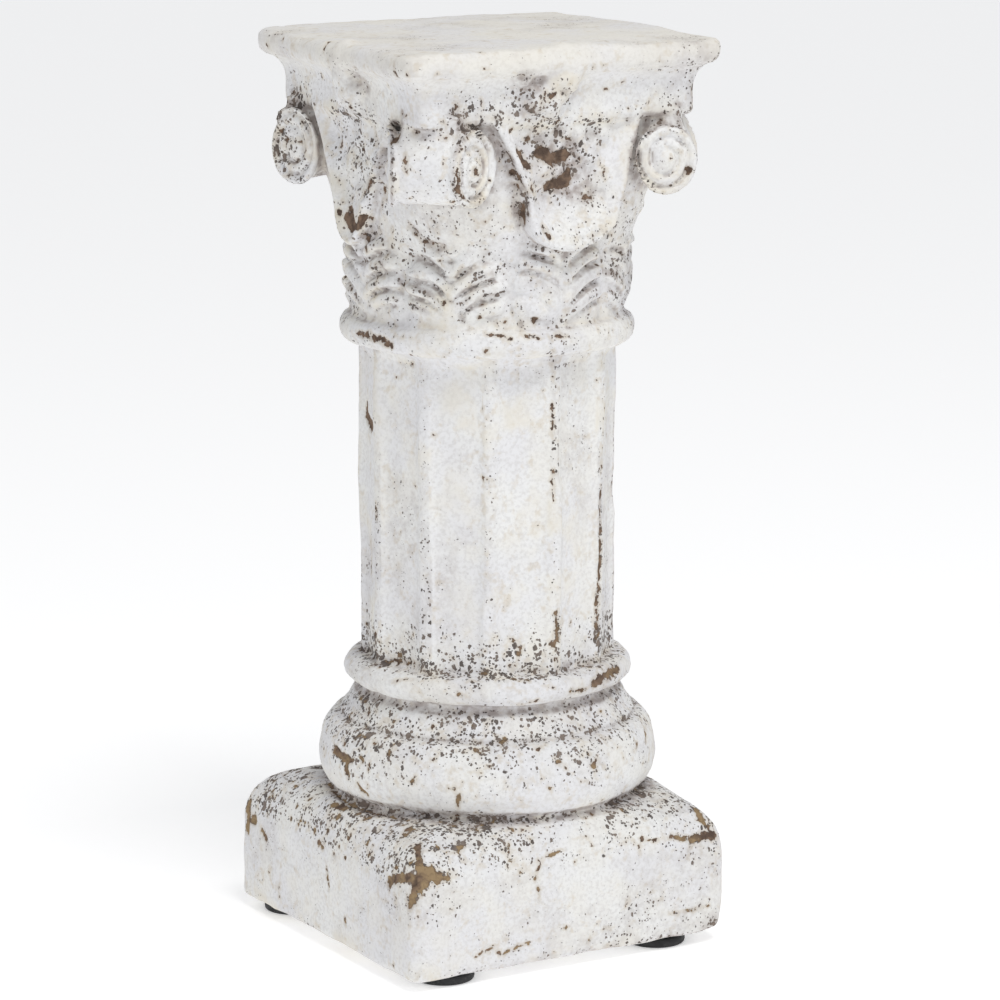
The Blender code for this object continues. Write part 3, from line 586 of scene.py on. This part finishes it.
def capital_distance(x, y, z, reach, angles):
    """Bell, leaves, hanging leaves, volutes, abacus and flowers."""
    surface = bell_reach(angles, z) + leaf_relief(x, y, angles, z)
    field = (reach - surface) * 0.8
    field = np.maximum(np.maximum(field, BELL_FOOT - 3 - z), z - BAND_FOOT - 2)
    for side in SIDES:
        out, across = turned(x, y, side)
        tongue = tongue_distance(across, out, z, TONGUE_EDGES[side], TONGUE_LIPS[side])
        field = soft_min(field, tongue, 0.5)
    for corner in CORNERS:
        out, across = turned(x, y, corner)
        field = soft_min(field, volute_distance(across, out, z, corner), 2.4)
    out, across = turned(x, y, ABACUS_TURN)
    wander = 0.7 * noise(x, y, z, 24.0, 9)
    power = ABACUS_POWER
    square = (np.abs(out + wander) ** power + np.abs(across + wander) ** power) ** (1 / power)
    high = smooth_step(300, 316, z)
    level = z + (0.6 * noise(x, y, 0 * z, 30.0, 10) - TOP_TILT[0] * x - TOP_TILT[1] * y) * high
    field = soft_min(field, ABACUS.distance(square, level), 2.0)
    for side in SIDES:
        out, across = turned(x, y, side + ABACUS_TURN)
        field = soft_min(field, flower_distance(across, out, z, FLOWERS[side]), 1.3)
    return field


def wear_share(x, y, z):
    """How thickly the paint is pitted, from 0 to about 1."""
    local_x = x - AXIS_X
    local_y = y - AXIS_Y
    reach = np.hypot(local_x, local_y)
    patches = noise(x, y, z, 17.0, 11)
    left = smooth_step(0.2, -0.8, local_x / (reach + 1))
    wear = 0.20 + 0.10 * patches
    slope = smooth_step(35, 39, z) * smooth_step(58, 52, z)
    wear = wear + slope * (0.42 + 0.22 * left + 0.18 * patches)
    wear = wear + 0.50 * smooth_step(70, 76, z) * smooth_step(91, 87, z) * (1 + 0.3 * patches)
    wear = wear + 0.24 * smooth_step(60, 68, z) * smooth_step(76, 70, z) * (1 + patches)
    foot = smooth_step(121, 103, z) * smooth_step(99.0, 100.5, z)
    wear = wear + foot * (0.72 + 0.3 * patches)
    wear = wear - 0.12 * smooth_step(112, 122, z) * smooth_step(208, 200, z)
    arris = smooth_step(4.0, 1.0, from_arris(bearing(local_x, local_y)))
    wear = wear + 0.26 * arris * smooth_step(101, 104, z) * smooth_step(211, 208, z)
    wear = wear + 0.10 * smooth_step(220, 226, z) * smooth_step(258, 248, z)
    wear = wear + 0.10 * smooth_step(209, 213, z) * smooth_step(224, 221, z)
    for side in SIDES:
        out, across = turned(local_x, local_y, side)
        facing = smooth_step(44, 50, out)
        broken = smooth_step(258, 268, z) * smooth_step(296, 291, z) * smooth_step(22, 14, np.abs(across - 1))
        lip = smooth_step(246, 250, z) * smooth_step(264, 258, z) * smooth_step(20, 14, np.abs(across - 1))
        wear = wear + facing * (0.48 * broken + 0.22 * lip)
        band = smooth_step(289, 293, z) * smooth_step(306, 302, z) * smooth_step(8, -6, across)
        wear = wear + facing * 0.42 * band * smooth_step(-50, -40, across)
    for corner, extra in VOLUTE_WEAR.items():
        out, across = turned(local_x, local_y, corner)
        wear = wear + extra * smooth_step(57, 62, out) * smooth_step(262, 266, z) * smooth_step(293, 290, z)
    wear = wear - 0.05 * smooth_step(306, 312, z)
    return np.clip(wear, 0.03, 1.0)


def pit_depth(x, y, z, wear):
    """Signed size in millimetres of the larger pits, positive inside one."""
    lumps = noise(x, y, z * 0.75, 2.3, 12) + 0.35 * noise(x, y, z, 1.3, 13)
    return (lumps - 1.22 + 0.50 * wear) * 1.1


def read_strokes(text):
    """Half-width and points of each stroke in a table."""
    rows = [[float(word) for word in stroke.split()] for stroke in text.split(";")]
    return [(row[0], np.array(row[1:]).reshape(-1, 3)) for row in rows]


def about_axis(points, turn):
    """Points turned about the column's axis."""
    x = points[:, 0] - AXIS_X
    y = points[:, 1] - AXIS_Y
    moved = points.copy()
    moved[:, 0] = AXIS_X + x * math.cos(turn) - y * math.sin(turn)
    moved[:, 1] = AXIS_Y + x * math.sin(turn) + y * math.cos(turn)
    return moved


def strokes():
    """Every bare place as settled strokes; the hidden half repeats the seen one, turned."""
    rng = np.random.default_rng(REPEAT_SEED)
    widths = []
    lines = []
    for text in (PLINTH_CHIPS, BASE_CHIPS, SHAFT_CHIPS, CAPITAL_CHIPS):
        for width, points in read_strokes(text):
            turn = math.pi + rng.uniform(-REPEAT_TURN, REPEAT_TURN)
            lift = rng.uniform(-REPEAT_LIFT, REPEAT_LIFT)
            away = about_axis(points, turn)
            away[:, 2] += lift
            widths.append(max(width, THIN_STROKE))
            lines.append(points)
            if rng.random() < REPEAT_SHARE:
                widths.append(max(width, THIN_STROKE))
                lines.append(away)
    return list(zip(widths, settle(lines)))


def settle(lines):
    """The lines' points moved onto the surface of the casting."""
    points = np.concatenate(lines)
    for _ in range(4):
        value = column_distance(*points.T)
        slope = np.stack([column_distance(*(points + step).T) - value for step in np.eye(3) * 0.4], 1) / 0.4
        size = np.maximum((slope ** 2).sum(1), 0.3)
        points = points - slope * np.clip(value, -3, 3)[:, None] / size[:, None]
    return np.split(points, np.cumsum([len(line) for line in lines])[:-1])


def stroke_depth(places, radius, points):
    """How far inside a stroke the places are; negative outside."""
    nearest = np.full(places[0].shape, 1e3)
    for start, end in zip(points, points[1:] if len(points) > 1 else points):
        along = end - start
        offsets = [values - origin for values, origin in zip(places, start)]
        share = sum(offset * step for offset, step in zip(offsets, along)) / max(float(along @ along), 1e-6)
        share = np.clip(share, 0, 1)
        gap = sum((offset - share * step) ** 2 for offset, step in zip(offsets, along))
        nearest = np.minimum(nearest, np.sqrt(gap))
    return radius - nearest


def worn_distance(x, y, z):
    """Distance to the casting with its hand-made unevenness and its larger pits."""
    field = column_distance(x, y, z)
    field = field + 0.50 * noise(x, y, z, 21.0, 2) + 0.28 * noise(x, y, z, 8.0, 3)
    field = field + 0.15 * noise(x, y, z, 3.2, 4)
    pits = pit_depth(x, y, z, wear_share(x, y, z))
    return field + PIT_CUT * smooth_step(-0.1, 0.35, pits)


def carve(field, low, radius, points, depth, grow):
    """Cut a stroke into the gridded field, in place."""
    reach = radius + grow
    first = np.maximum(np.floor((points.min(0) - reach - low) / CELL).astype(int), 0)
    last = np.minimum(np.ceil((points.max(0) + reach - low) / CELL).astype(int) + 1, field.shape)
    if (last <= first).any():
        return
    axes = [low[i] + CELL * np.arange(first[i], last[i]) for i in range(3)]
    places = np.meshgrid(*axes, indexing="ij")
    ragged = 0.35 * noise(*places, 2.4, 14)
    inside = smooth_step(-grow, grow * 0.6, stroke_depth(places, radius, points) + ragged)
    field[first[0]:last[0], first[1]:last[1], first[2]:last[2]] += depth * inside


def sample_field(chips):
    """The worn field on a grid, worked out finely only near the surface, with its chips cut in."""
    low = np.array(GRID_LOW) - MARGIN
    counts = np.ceil((np.array(GRID_HIGH) + MARGIN - low) / COARSE).astype(int)
    ratio = int(round(COARSE / CELL))
    axes = [low[i] + COARSE * (np.arange(counts[i]) + 0.5) for i in range(3)]
    grid = np.meshgrid(*axes, indexing="ij")
    rough = column_distance(*[values.ravel() for values in grid]).reshape(counts)
    near = np.abs(rough) < COARSE * 1.6
    field = np.repeat(np.repeat(np.repeat(rough, ratio, 0), ratio, 1), ratio, 2)
    mask = np.repeat(np.repeat(np.repeat(near, ratio, 0), ratio, 1), ratio, 2)
    places = np.nonzero(mask)
    points = [low[i] + CELL * (places[i] + 0.5) for i in range(3)]
    field[places] = worn_distance(*points)
    low = low + CELL * 0.5
    for radius, line in chips:
        carve(field, low, radius, line, CHIP_CUT, CHIP_SPREAD)
    grooves = read_strokes(LEAF_GROOVES)
    for (width, _), line in zip(grooves, settle([points for _, points in grooves])):
        carve(field, low, max(width, GROOVE_LEAST), line, GROOVE_CUT, GROOVE_SPREAD)
    for place, radius, depth in DENTS:
        carve(field, low, 0.0, np.array([place]), depth, radius)
    return field, low


def surface_net(field, low):
    """Vertices and quads of the zero surface of a gridded field."""
    inside = field < 0
    corner = [(i, j, k) for i in (0, 1) for j in (0, 1) for k in (0, 1)]
    nx, ny, nz = (count - 1 for count in field.shape)
    total = np.zeros((nx, ny, nz), np.uint8)
    for i, j, k in corner:
        total += inside[i:nx + i, j:ny + j, k:nz + k]
    cells = np.nonzero((total > 0) & (total < 8))
    order = np.full((nx, ny, nz), -1, np.int64)
    order[cells] = np.arange(len(cells[0]))
    values = {c: field[cells[0] + c[0], cells[1] + c[1], cells[2] + c[2]] for c in corner}
    place = np.zeros((len(cells[0]), 3))
    hits = np.zeros(len(cells[0]))
    for first in corner:
        for axis in range(3):
            if first[axis]:
                continue
            second = tuple(1 if i == axis else first[i] for i in range(3))
            a = values[first]
            b = values[second]
            cross = (a < 0) != (b < 0)
            share = np.where(cross, a / np.where(cross, a - b, 1), 0)
            for i in range(3):
                place[:, i] += np.where(cross, share if i == axis else first[i], 0)
            hits += cross
    place /= hits[:, None]
    vertices = low + CELL * (np.stack(cells, 1) + place)
    quads = []
    for axis in range(3):
        second, third = (axis + 1) % 3, (axis + 2) % 3
        step = [0, 0, 0]
        step[axis] = 1
        here = inside[:nx, :ny, :nz]
        there = inside[step[0]:nx + step[0], step[1]:ny + step[1], step[2]:nz + step[2]]
        edges = np.stack(np.nonzero(here != there), 1)
        edges = edges[(edges[:, second] > 0) & (edges[:, third] > 0)]
        ring = []
        for down_second, down_third in ((0, 0), (1, 0), (1, 1), (0, 1)):
            cell = edges.copy()
            cell[:, second] -= down_second
            cell[:, third] -= down_third
            ring.append(order[cell[:, 0], cell[:, 1], cell[:, 2]])
        ring = np.stack(ring, 1)
        outward = inside[edges[:, 0], edges[:, 1], edges[:, 2]]
        ring[~outward] = ring[~outward][:, ::-1]
        quads.append(ring)
    return vertices, np.concatenate(quads)


def crease_shade_lines(x, y, z):
    """Painted shade, with some dirt, as dark lines at the foot of the torus and in the crease over it."""
    reach = np.hypot(x - AXIS_X, y - AXIS_Y)
    foot = 0.95 * np.exp(-((reach - 52.6) / 2.0) ** 2) * np.exp(-((z - 53.2) / 2.0) ** 2)
    ring = 0.65 * np.exp(-((z - 79.8) / 0.9) ** 2)
    ring = ring * smooth_step(49, 51, reach) * smooth_step(55.5, 54.5, reach)
    return np.maximum(foot, ring)


def soiled(x, y, z):
    """Extra dirt on the hanging leaf at the front."""
    out, across = turned(x - AXIS_X, y - AXIS_Y, 0.0)
    level = smooth_step(252, 268, z) * smooth_step(292, 286, z)
    return 0.30 * smooth_step(40, 46, out) * level * smooth_step(24, 12, np.abs(across))


def add_shares(mesh, chips):
    """Work out at each vertex how worn, bare, hollow, edged and stained the paint is; the creases and hollows
    later take painted shade.
    """
    count = len(mesh.vertices)
    flat = np.empty(count * 3, np.float32)
    mesh.vertices.foreach_get("co", flat)
    places = flat.reshape(-1, 3).astype(float) / MM
    mesh.vertices.foreach_get("normal", flat)
    normals = flat.reshape(-1, 3).astype(float)
    x, y, z = places.T
    wear = wear_share(x, y, z)
    bare = np.maximum(pit_depth(x, y, z, wear), -1.6)
    for radius, line in chips:
        near = np.all((places > line.min(0) - radius - 1.6) & (places < line.max(0) + radius + 1.6), axis=1)
        depth = stroke_depth(places[near].T, radius, line)
        bare[near] = np.maximum(bare[near], depth)
    # Crease and hollow shares measure how sunken the surface is; the paint is darkened there as painted
    # shade, with some dirt
    crease = np.clip(1 - column_distance(*(places + normals * CREASE_REACH).T) / CREASE_REACH, 0, 1)
    hollow = soiled(x, y, z)
    ridge = np.zeros(count)
    for step in HOLLOW_STEPS:
        hollow += np.clip(1 - column_distance(*(places + normals * step).T) / step, 0, 1) / 3
        ridge += np.clip(1 + column_distance(*(places - normals * step).T) / step, 0, 1) / 3
    # The painted shade lines at the torus join the crease share
    crease = np.maximum(crease, crease_shade_lines(x, y, z))
    height = (z - UNDERSIDE) / (COLUMN_TOP - UNDERSIDE)
    shares = {"wear": wear, "bare": bare, "crease": crease,
              "hollow": hollow, "ridge": ridge, "height": height}
    for name, values in shares.items():
        layer = mesh.attributes.new(name, "FLOAT", "POINT")
        layer.data.foreach_set("value", np.ascontiguousarray(values, dtype=np.float32))


def add_object(name, data):
    """New object in the scene."""
    item = bpy.data.objects.new(name, data)
    bpy.context.scene.collection.objects.link(item)
    return item


def make_casting():
    """The sculpted casting as one mesh."""
    chips = strokes()
    field, low = sample_field(chips)
    vertices, quads = surface_net(field, low)
    lowest, highest = (np.array(corner) / MM for corner in cad_box)
    lowest = np.array([lowest[0], lowest[1], UNDERSIDE])
    vertices = np.clip(vertices, lowest + BOX_INSET, highest - BOX_INSET)
    mesh = bpy.data.meshes.new("casting")
    mesh.from_pydata((vertices * MM).tolist(), [], quads.tolist())
    casting = add_object("casting", mesh)
    print("casting quads", len(quads))
    if 2 * len(quads) > FACE_LIMIT:
        fewer = casting.modifiers.new("fewer", "DECIMATE")
        fewer.ratio = FACE_LIMIT / (2 * len(quads))
        depsgraph = bpy.context.evaluated_depsgraph_get()
        lighter = bpy.data.meshes.new_from_object(casting.evaluated_get(depsgraph))
        casting.modifiers.clear()
        casting.data = lighter
        bpy.data.meshes.remove(mesh)
    casting.data.shade_smooth()
    add_shares(casting.data, chips)
    return casting


def make_pad(node):
    """Rubber foot pad with rounded edges, a little wider low down, in place of its solid."""
    lowest, highest = (Vector(corner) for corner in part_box(node))
    middle = (lowest + highest) / 2
    radius = (highest.x - lowest.x) / 2
    tall = highest.z - lowest.z
    count = PAD_SEGMENTS
    points = []
    for share, rise in PAD_OUTLINE:
        for i in range(count):
            turn = 2 * math.pi * i / count
            points.append((middle.x + radius * share * math.cos(turn),
                           middle.y + radius * share * math.sin(turn), lowest.z + tall * rise))
    rows = len(PAD_OUTLINE)
    faces = []
    for row in range(rows - 1):
        for i in range(count):
            j = (i + 1) % count
            faces.append((row * count + i, row * count + j, (row + 1) * count + j, (row + 1) * count + i))
    faces.append(tuple(reversed(range(count))))
    faces.append(tuple(range((rows - 1) * count, rows * count)))
    mesh = bpy.data.meshes.new(node + "_rubber")
    mesh.from_pydata(points, [], faces)
    pad = add_object(node + "_rubber", mesh)
    mesh.shade_smooth()
    mesh.set_sharp_from_angle(angle=math.radians(50))
    return pad


def spin(first, second, angle):
    """Two square directions, the first turned toward the second by degrees."""
    turn = math.radians(angle)
    return (first * math.cos(turn) + second * math.sin(turn),
            second * math.cos(turn) - first * math.sin(turn))


def make_camera():
    """Camera at the photograph's place, which was fitted to the plinth, abacus and axis."""
    turn = math.radians(CAMERA_AZIMUTH)
    place = Vector((CAMERA_AWAY * math.sin(turn), -CAMERA_AWAY * math.cos(turn), CAMERA_LEVEL)) * CAMERA_UNIT
    place += Vector((BULGE_X / 2, -BULGE_Y / 2, UNDERSIDE))
    ahead = Vector((-math.sin(turn), math.cos(turn), 0))
    right = Vector((math.cos(turn), math.sin(turn), 0))
    up = Vector((0, 0, 1))
    ahead, right = spin(ahead, right, CAMERA_YAW)
    ahead, up = spin(ahead, up, -CAMERA_PITCH)
    right, up = spin(right, up, CAMERA_ROLL)
    lens = bpy.data.cameras.new("camera")
    camera = add_object("camera", lens)
    camera.matrix_world = Matrix.Translation(place * MM) @ Matrix((right, up, -ahead)).transposed().to_4x4()
    lens.sensor_width = SENSOR_WIDTH
    lens.lens = lens.sensor_width * CAMERA_FOCAL / PICTURE_WIDTH
    bpy.context.scene.camera = camera


class Graph:
    """Short ways to add and join shader nodes."""

    def __init__(self, name):
        self.material = bpy.data.materials.new(name)
        self.material.use_nodes = True
        self.tree = self.material.node_tree
        self.shader = self.tree.nodes["Principled BSDF"]
        self.place = self.stretch(self.node("ShaderNodeTexCoord").outputs["Object"], (1 / MM, 1 / MM, 1 / MM))

    def node(self, kind, **settings):
        node = self.tree.nodes.new(kind)
        for key, value in settings.items():
            setattr(node, key, value)
        return node

    def put(self, socket, value):
        """Join a socket to another socket, or set its value."""
        if isinstance(value, bpy.types.NodeSocket):
            self.tree.links.new(value, socket)
        elif isinstance(value, tuple) and len(value) == 3 and socket.type == "RGBA":
            socket.default_value = (*value, 1.0)
        else:
            socket.default_value = value

    def share(self, name):
        """Value kept at the vertices."""
        return self.node("ShaderNodeAttribute", attribute_name=name).outputs["Fac"]

    def math(self, operation, first, second=0.0):
        node = self.node("ShaderNodeMath", operation=operation)
        self.put(node.inputs[0], first)
        self.put(node.inputs[1], second)
        return node.outputs[0]

    def times(self, first, second):
        """Product of two values."""
        return self.math("MULTIPLY", first, second)

    def ramp(self, value, low, high, start=0.0, end=1.0):
        """Smooth step from start to end while the value passes from low to high."""
        node = self.node("ShaderNodeMapRange", interpolation_type="SMOOTHSTEP")
        for socket, item in zip(node.inputs, (value, low, high, start, end)):
            self.put(socket, item)
        return node.outputs[0]

    def stretch(self, vector, scale):
        node = self.node("ShaderNodeMapping")
        self.put(node.inputs["Vector"], vector)
        self.put(node.inputs["Scale"], scale)
        return node.outputs[0]

    def noise(self, vector, size, detail=2.0, out="Fac"):
        """Noise whose bumps are about the given size in millimetres."""
        node = self.node("ShaderNodeTexNoise")
        self.put(node.inputs["Vector"], vector)
        node.inputs["Scale"].default_value = 1 / size
        node.inputs["Detail"].default_value = detail
        return node.outputs[out]

    def warp(self, vector, size, reach):
        """Coordinates pushed about by noise."""
        node = self.node("ShaderNodeVectorMath", operation="MULTIPLY_ADD")
        self.put(node.inputs[0], self.noise(vector, size, 1.0, "Color"))
        node.inputs[1].default_value = (reach, reach, reach)
        self.put(node.inputs[2], vector)
        return node.outputs[0]

    def mix(self, share, first, second):
        node = self.node("ShaderNodeMix", data_type="RGBA")
        self.put(node.inputs[0], share)
        self.put(node.inputs[6], first)
        self.put(node.inputs[7], second)
        return node.outputs[2]

    def specks(self, vector, cell, wear, reach):
        """Irregular specks, one to a cell of the given size, larger where the wear is heavy."""
        cells = self.node("ShaderNodeTexVoronoi")
        self.put(cells.inputs["Vector"], vector)
        cells.inputs["Scale"].default_value = 1 / cell
        random = self.node("ShaderNodeSeparateColor")
        self.put(random.inputs[0], cells.outputs["Color"])
        size = self.math("POWER", random.outputs[0], 1.6)
        size = self.times(size, self.times(wear, reach))
        gap = self.math("SUBTRACT", size, cells.outputs["Distance"])
        return self.ramp(gap, -0.02, 0.07)

    def bump(self, relief, strength):
        """Fine relief in millimetres."""
        node = self.node("ShaderNodeBump")
        node.inputs["Distance"].default_value = MM
        node.inputs["Strength"].default_value = strength
        self.put(node.inputs["Height"], relief)
        self.put(self.shader.inputs["Normal"], node.outputs[0])


def make_paint():
    """Chalky white paint, pitted and chipped down to brown cement, with painted shade and some dirt darkening
    its creases and hollows.
    """
    graph = Graph("chalk_painted_cement")
    place = graph.place
    names = ("wear", "hollow", "ridge", "height", "crease")
    wear, hollow, ridge, height, crease = [graph.share(name) for name in names]

    loose = graph.math("ADD", wear, graph.times(crease, 0.9))
    loose = graph.times(loose, graph.ramp(graph.noise(place, 5.0, 3.0), 0.32, 0.64, 0.40, 1.25))
    warped = graph.warp(graph.warp(place, 0.55, 0.55), 1.6, 1.0)
    tall = graph.stretch(warped, (1.0, 1.0, 0.60))
    tilted = graph.stretch(warped, (0.66, 0.66, 1.0))
    fine = graph.specks(warped, 1.05, loose, 0.78)
    middling = graph.specks(tall, 1.75, loose, 0.58)
    coarse = graph.specks(tilted, 3.3, loose, 0.38)
    specks = graph.math("MAXIMUM", fine, graph.math("MAXIMUM", middling, coarse))

    ragged = graph.math("SUBTRACT", graph.noise(place, 2.2, 5.0), 0.5)
    depth = graph.math("ADD", graph.share("bare"), graph.times(ragged, 3.0))
    bare = graph.ramp(depth, -0.06, 0.10)
    rim = graph.times(graph.ramp(depth, -1.1, 0.0), graph.math("SUBTRACT", 1.0, bare))

    tone = graph.noise(place, 26.0, 4.0)
    white = graph.mix(graph.ramp(tone, 0.38, 0.62), PAINT_COOL, PAINT_WHITE)
    mottle = graph.ramp(graph.noise(place, 1.3, 4.0), 0.42, 0.68, 0.0, 0.42)
    white = graph.mix(mottle, white, PAINT_DULL)
    blotch = graph.ramp(graph.noise(place, 13.0, 5.0), 0.42, 0.66)
    stain = graph.times(blotch, graph.ramp(ridge, 0.05, 0.42, 0.25, 0.95))
    weathered = graph.ramp(tone, 0.30, 0.60, 0.20, 0.62)
    weathered = graph.times(graph.ramp(height, 0.945, 0.985), weathered)
    color = graph.mix(graph.math("MAXIMUM", stain, weathered), white, PAINT_CREAM)
    color = graph.mix(graph.times(rim, 0.45), color, PAINT_STAIN)
    # Painted shade: creases and hollows darkened toward a grey-brown, with some dirt, broken up by noise
    dusk = graph.ramp(graph.noise(place, 3.2, 4.0), 0.36, 0.66, 0.25, 0.85)
    pocket = graph.math("MAXIMUM", graph.ramp(hollow, 0.14, 0.55), graph.times(crease, 0.9))
    painted_shade_and_grime = graph.times(pocket, dusk)
    color = graph.mix(painted_shade_and_grime, color, CREASE_SHADE_AND_GRIME)

    cement = graph.mix(graph.ramp(graph.noise(place, 2.6, 5.0), 0.36, 0.64), CEMENT_DARK, CEMENT)
    warm = graph.ramp(graph.noise(place, 5.0, 3.0), 0.40, 0.62)
    warm = graph.times(graph.ramp(height, 0.55, 0.10), warm)
    cement = graph.mix(warm, cement, CEMENT_OCHRE)
    pit = graph.mix(graph.ramp(graph.noise(place, 4.0, 2.0), 0.35, 0.65), PIT_DARK, PIT_BROWN)
    color = graph.mix(graph.times(specks, 0.92), color, pit)
    color = graph.mix(bare, color, cement)
    graph.put(graph.shader.inputs["Base Color"], color)

    worn = graph.math("MAXIMUM", specks, bare)
    graph.put(graph.shader.inputs["Roughness"], graph.ramp(worn, 0.0, 1.0, 0.82, 0.95))
    graph.shader.inputs["Specular IOR Level"].default_value = 0.25

    lumps = graph.times(graph.noise(place, 3.4, 3.0), 0.22)
    grain = graph.times(graph.noise(place, 0.7, 2.0), 0.09)
    relief = graph.math("ADD", lumps, grain)
    relief = graph.math("SUBTRACT", relief, graph.times(specks, 0.28))
    relief = graph.math("SUBTRACT", relief, graph.times(bare, 0.30))
    graph.bump(relief, 0.9)
    return graph.material


def make_rubber():
    """Black foam rubber with a trace of dust."""
    graph = Graph("black_rubber_pad")
    dust = graph.ramp(graph.noise(graph.place, 1.8, 4.0), 0.52, 0.74, 0.0, 0.6)
    graph.put(graph.shader.inputs["Base Color"], graph.mix(dust, RUBBER, RUBBER_DUST))
    dull = graph.ramp(graph.noise(graph.place, 3.0), 0.3, 0.7, 0.55, 0.75)
    graph.put(graph.shader.inputs["Roughness"], dull)
    graph.bump(graph.times(graph.noise(graph.place, 0.5, 2.0), 0.08), 0.6)
    return graph.material


def make_floor():
    """Plain pale floor."""
    mesh = bpy.data.meshes.new("floor")
    half = FLOOR_HALF
    corners = [(-half, -half, 0), (half, -half, 0), (half, half, 0), (-half, half, 0)]
    mesh.from_pydata(corners, [], [(0, 1, 2, 3)])
    floor = add_object("floor", mesh)
    material = bpy.data.materials.new("floor_white")
    material.use_nodes = True
    shader = material.node_tree.nodes["Principled BSDF"]
    shader.inputs["Base Color"].default_value = FLOOR_COLOR
    shader.inputs["Roughness"].default_value = 0.9
    shader.inputs["Emission Color"].default_value = FLOOR_GLOW_COLOR
    shader.inputs["Emission Strength"].default_value = FLOOR_GLOW
    floor.data.materials.append(material)


def area_light(name, place, size, power, color):
    """Soft square light that faces the column."""
    data = bpy.data.lights.new(name, "AREA")
    data.size = size
    data.energy = power
    data.color = color
    light = add_object(name, data)
    light.location = place
    light.rotation_euler = (Vector(LIT_POINT) - Vector(place)).to_track_quat("-Z", "Y").to_euler()


def make_light():
    """Even bright surroundings, a soft key from above the front and a weak fill from the left."""
    world = bpy.data.worlds.new("surroundings")
    bpy.context.scene.world = world
    world.use_nodes = True
    background = world.node_tree.nodes["Background"]
    background.inputs["Color"].default_value = SURROUND_COLOR
    background.inputs["Strength"].default_value = SURROUND_GLOW
    area_light("key", *KEY)
    area_light("fill", *FILL)
    bpy.context.scene.view_settings.view_transform = "Standard"


make_camera()
casting = make_casting()
casting.data.materials.append(make_paint())
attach(casting, "root")
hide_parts("cast_column")
rubber = make_rubber()
for place in ("front_left", "front_right", "back_left", "back_right"):
    pad = make_pad("foot_pad_" + place)
    pad.data.materials.append(rubber)
    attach(pad, "root")
    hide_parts("foot_pad_" + place)
make_floor()
make_light()
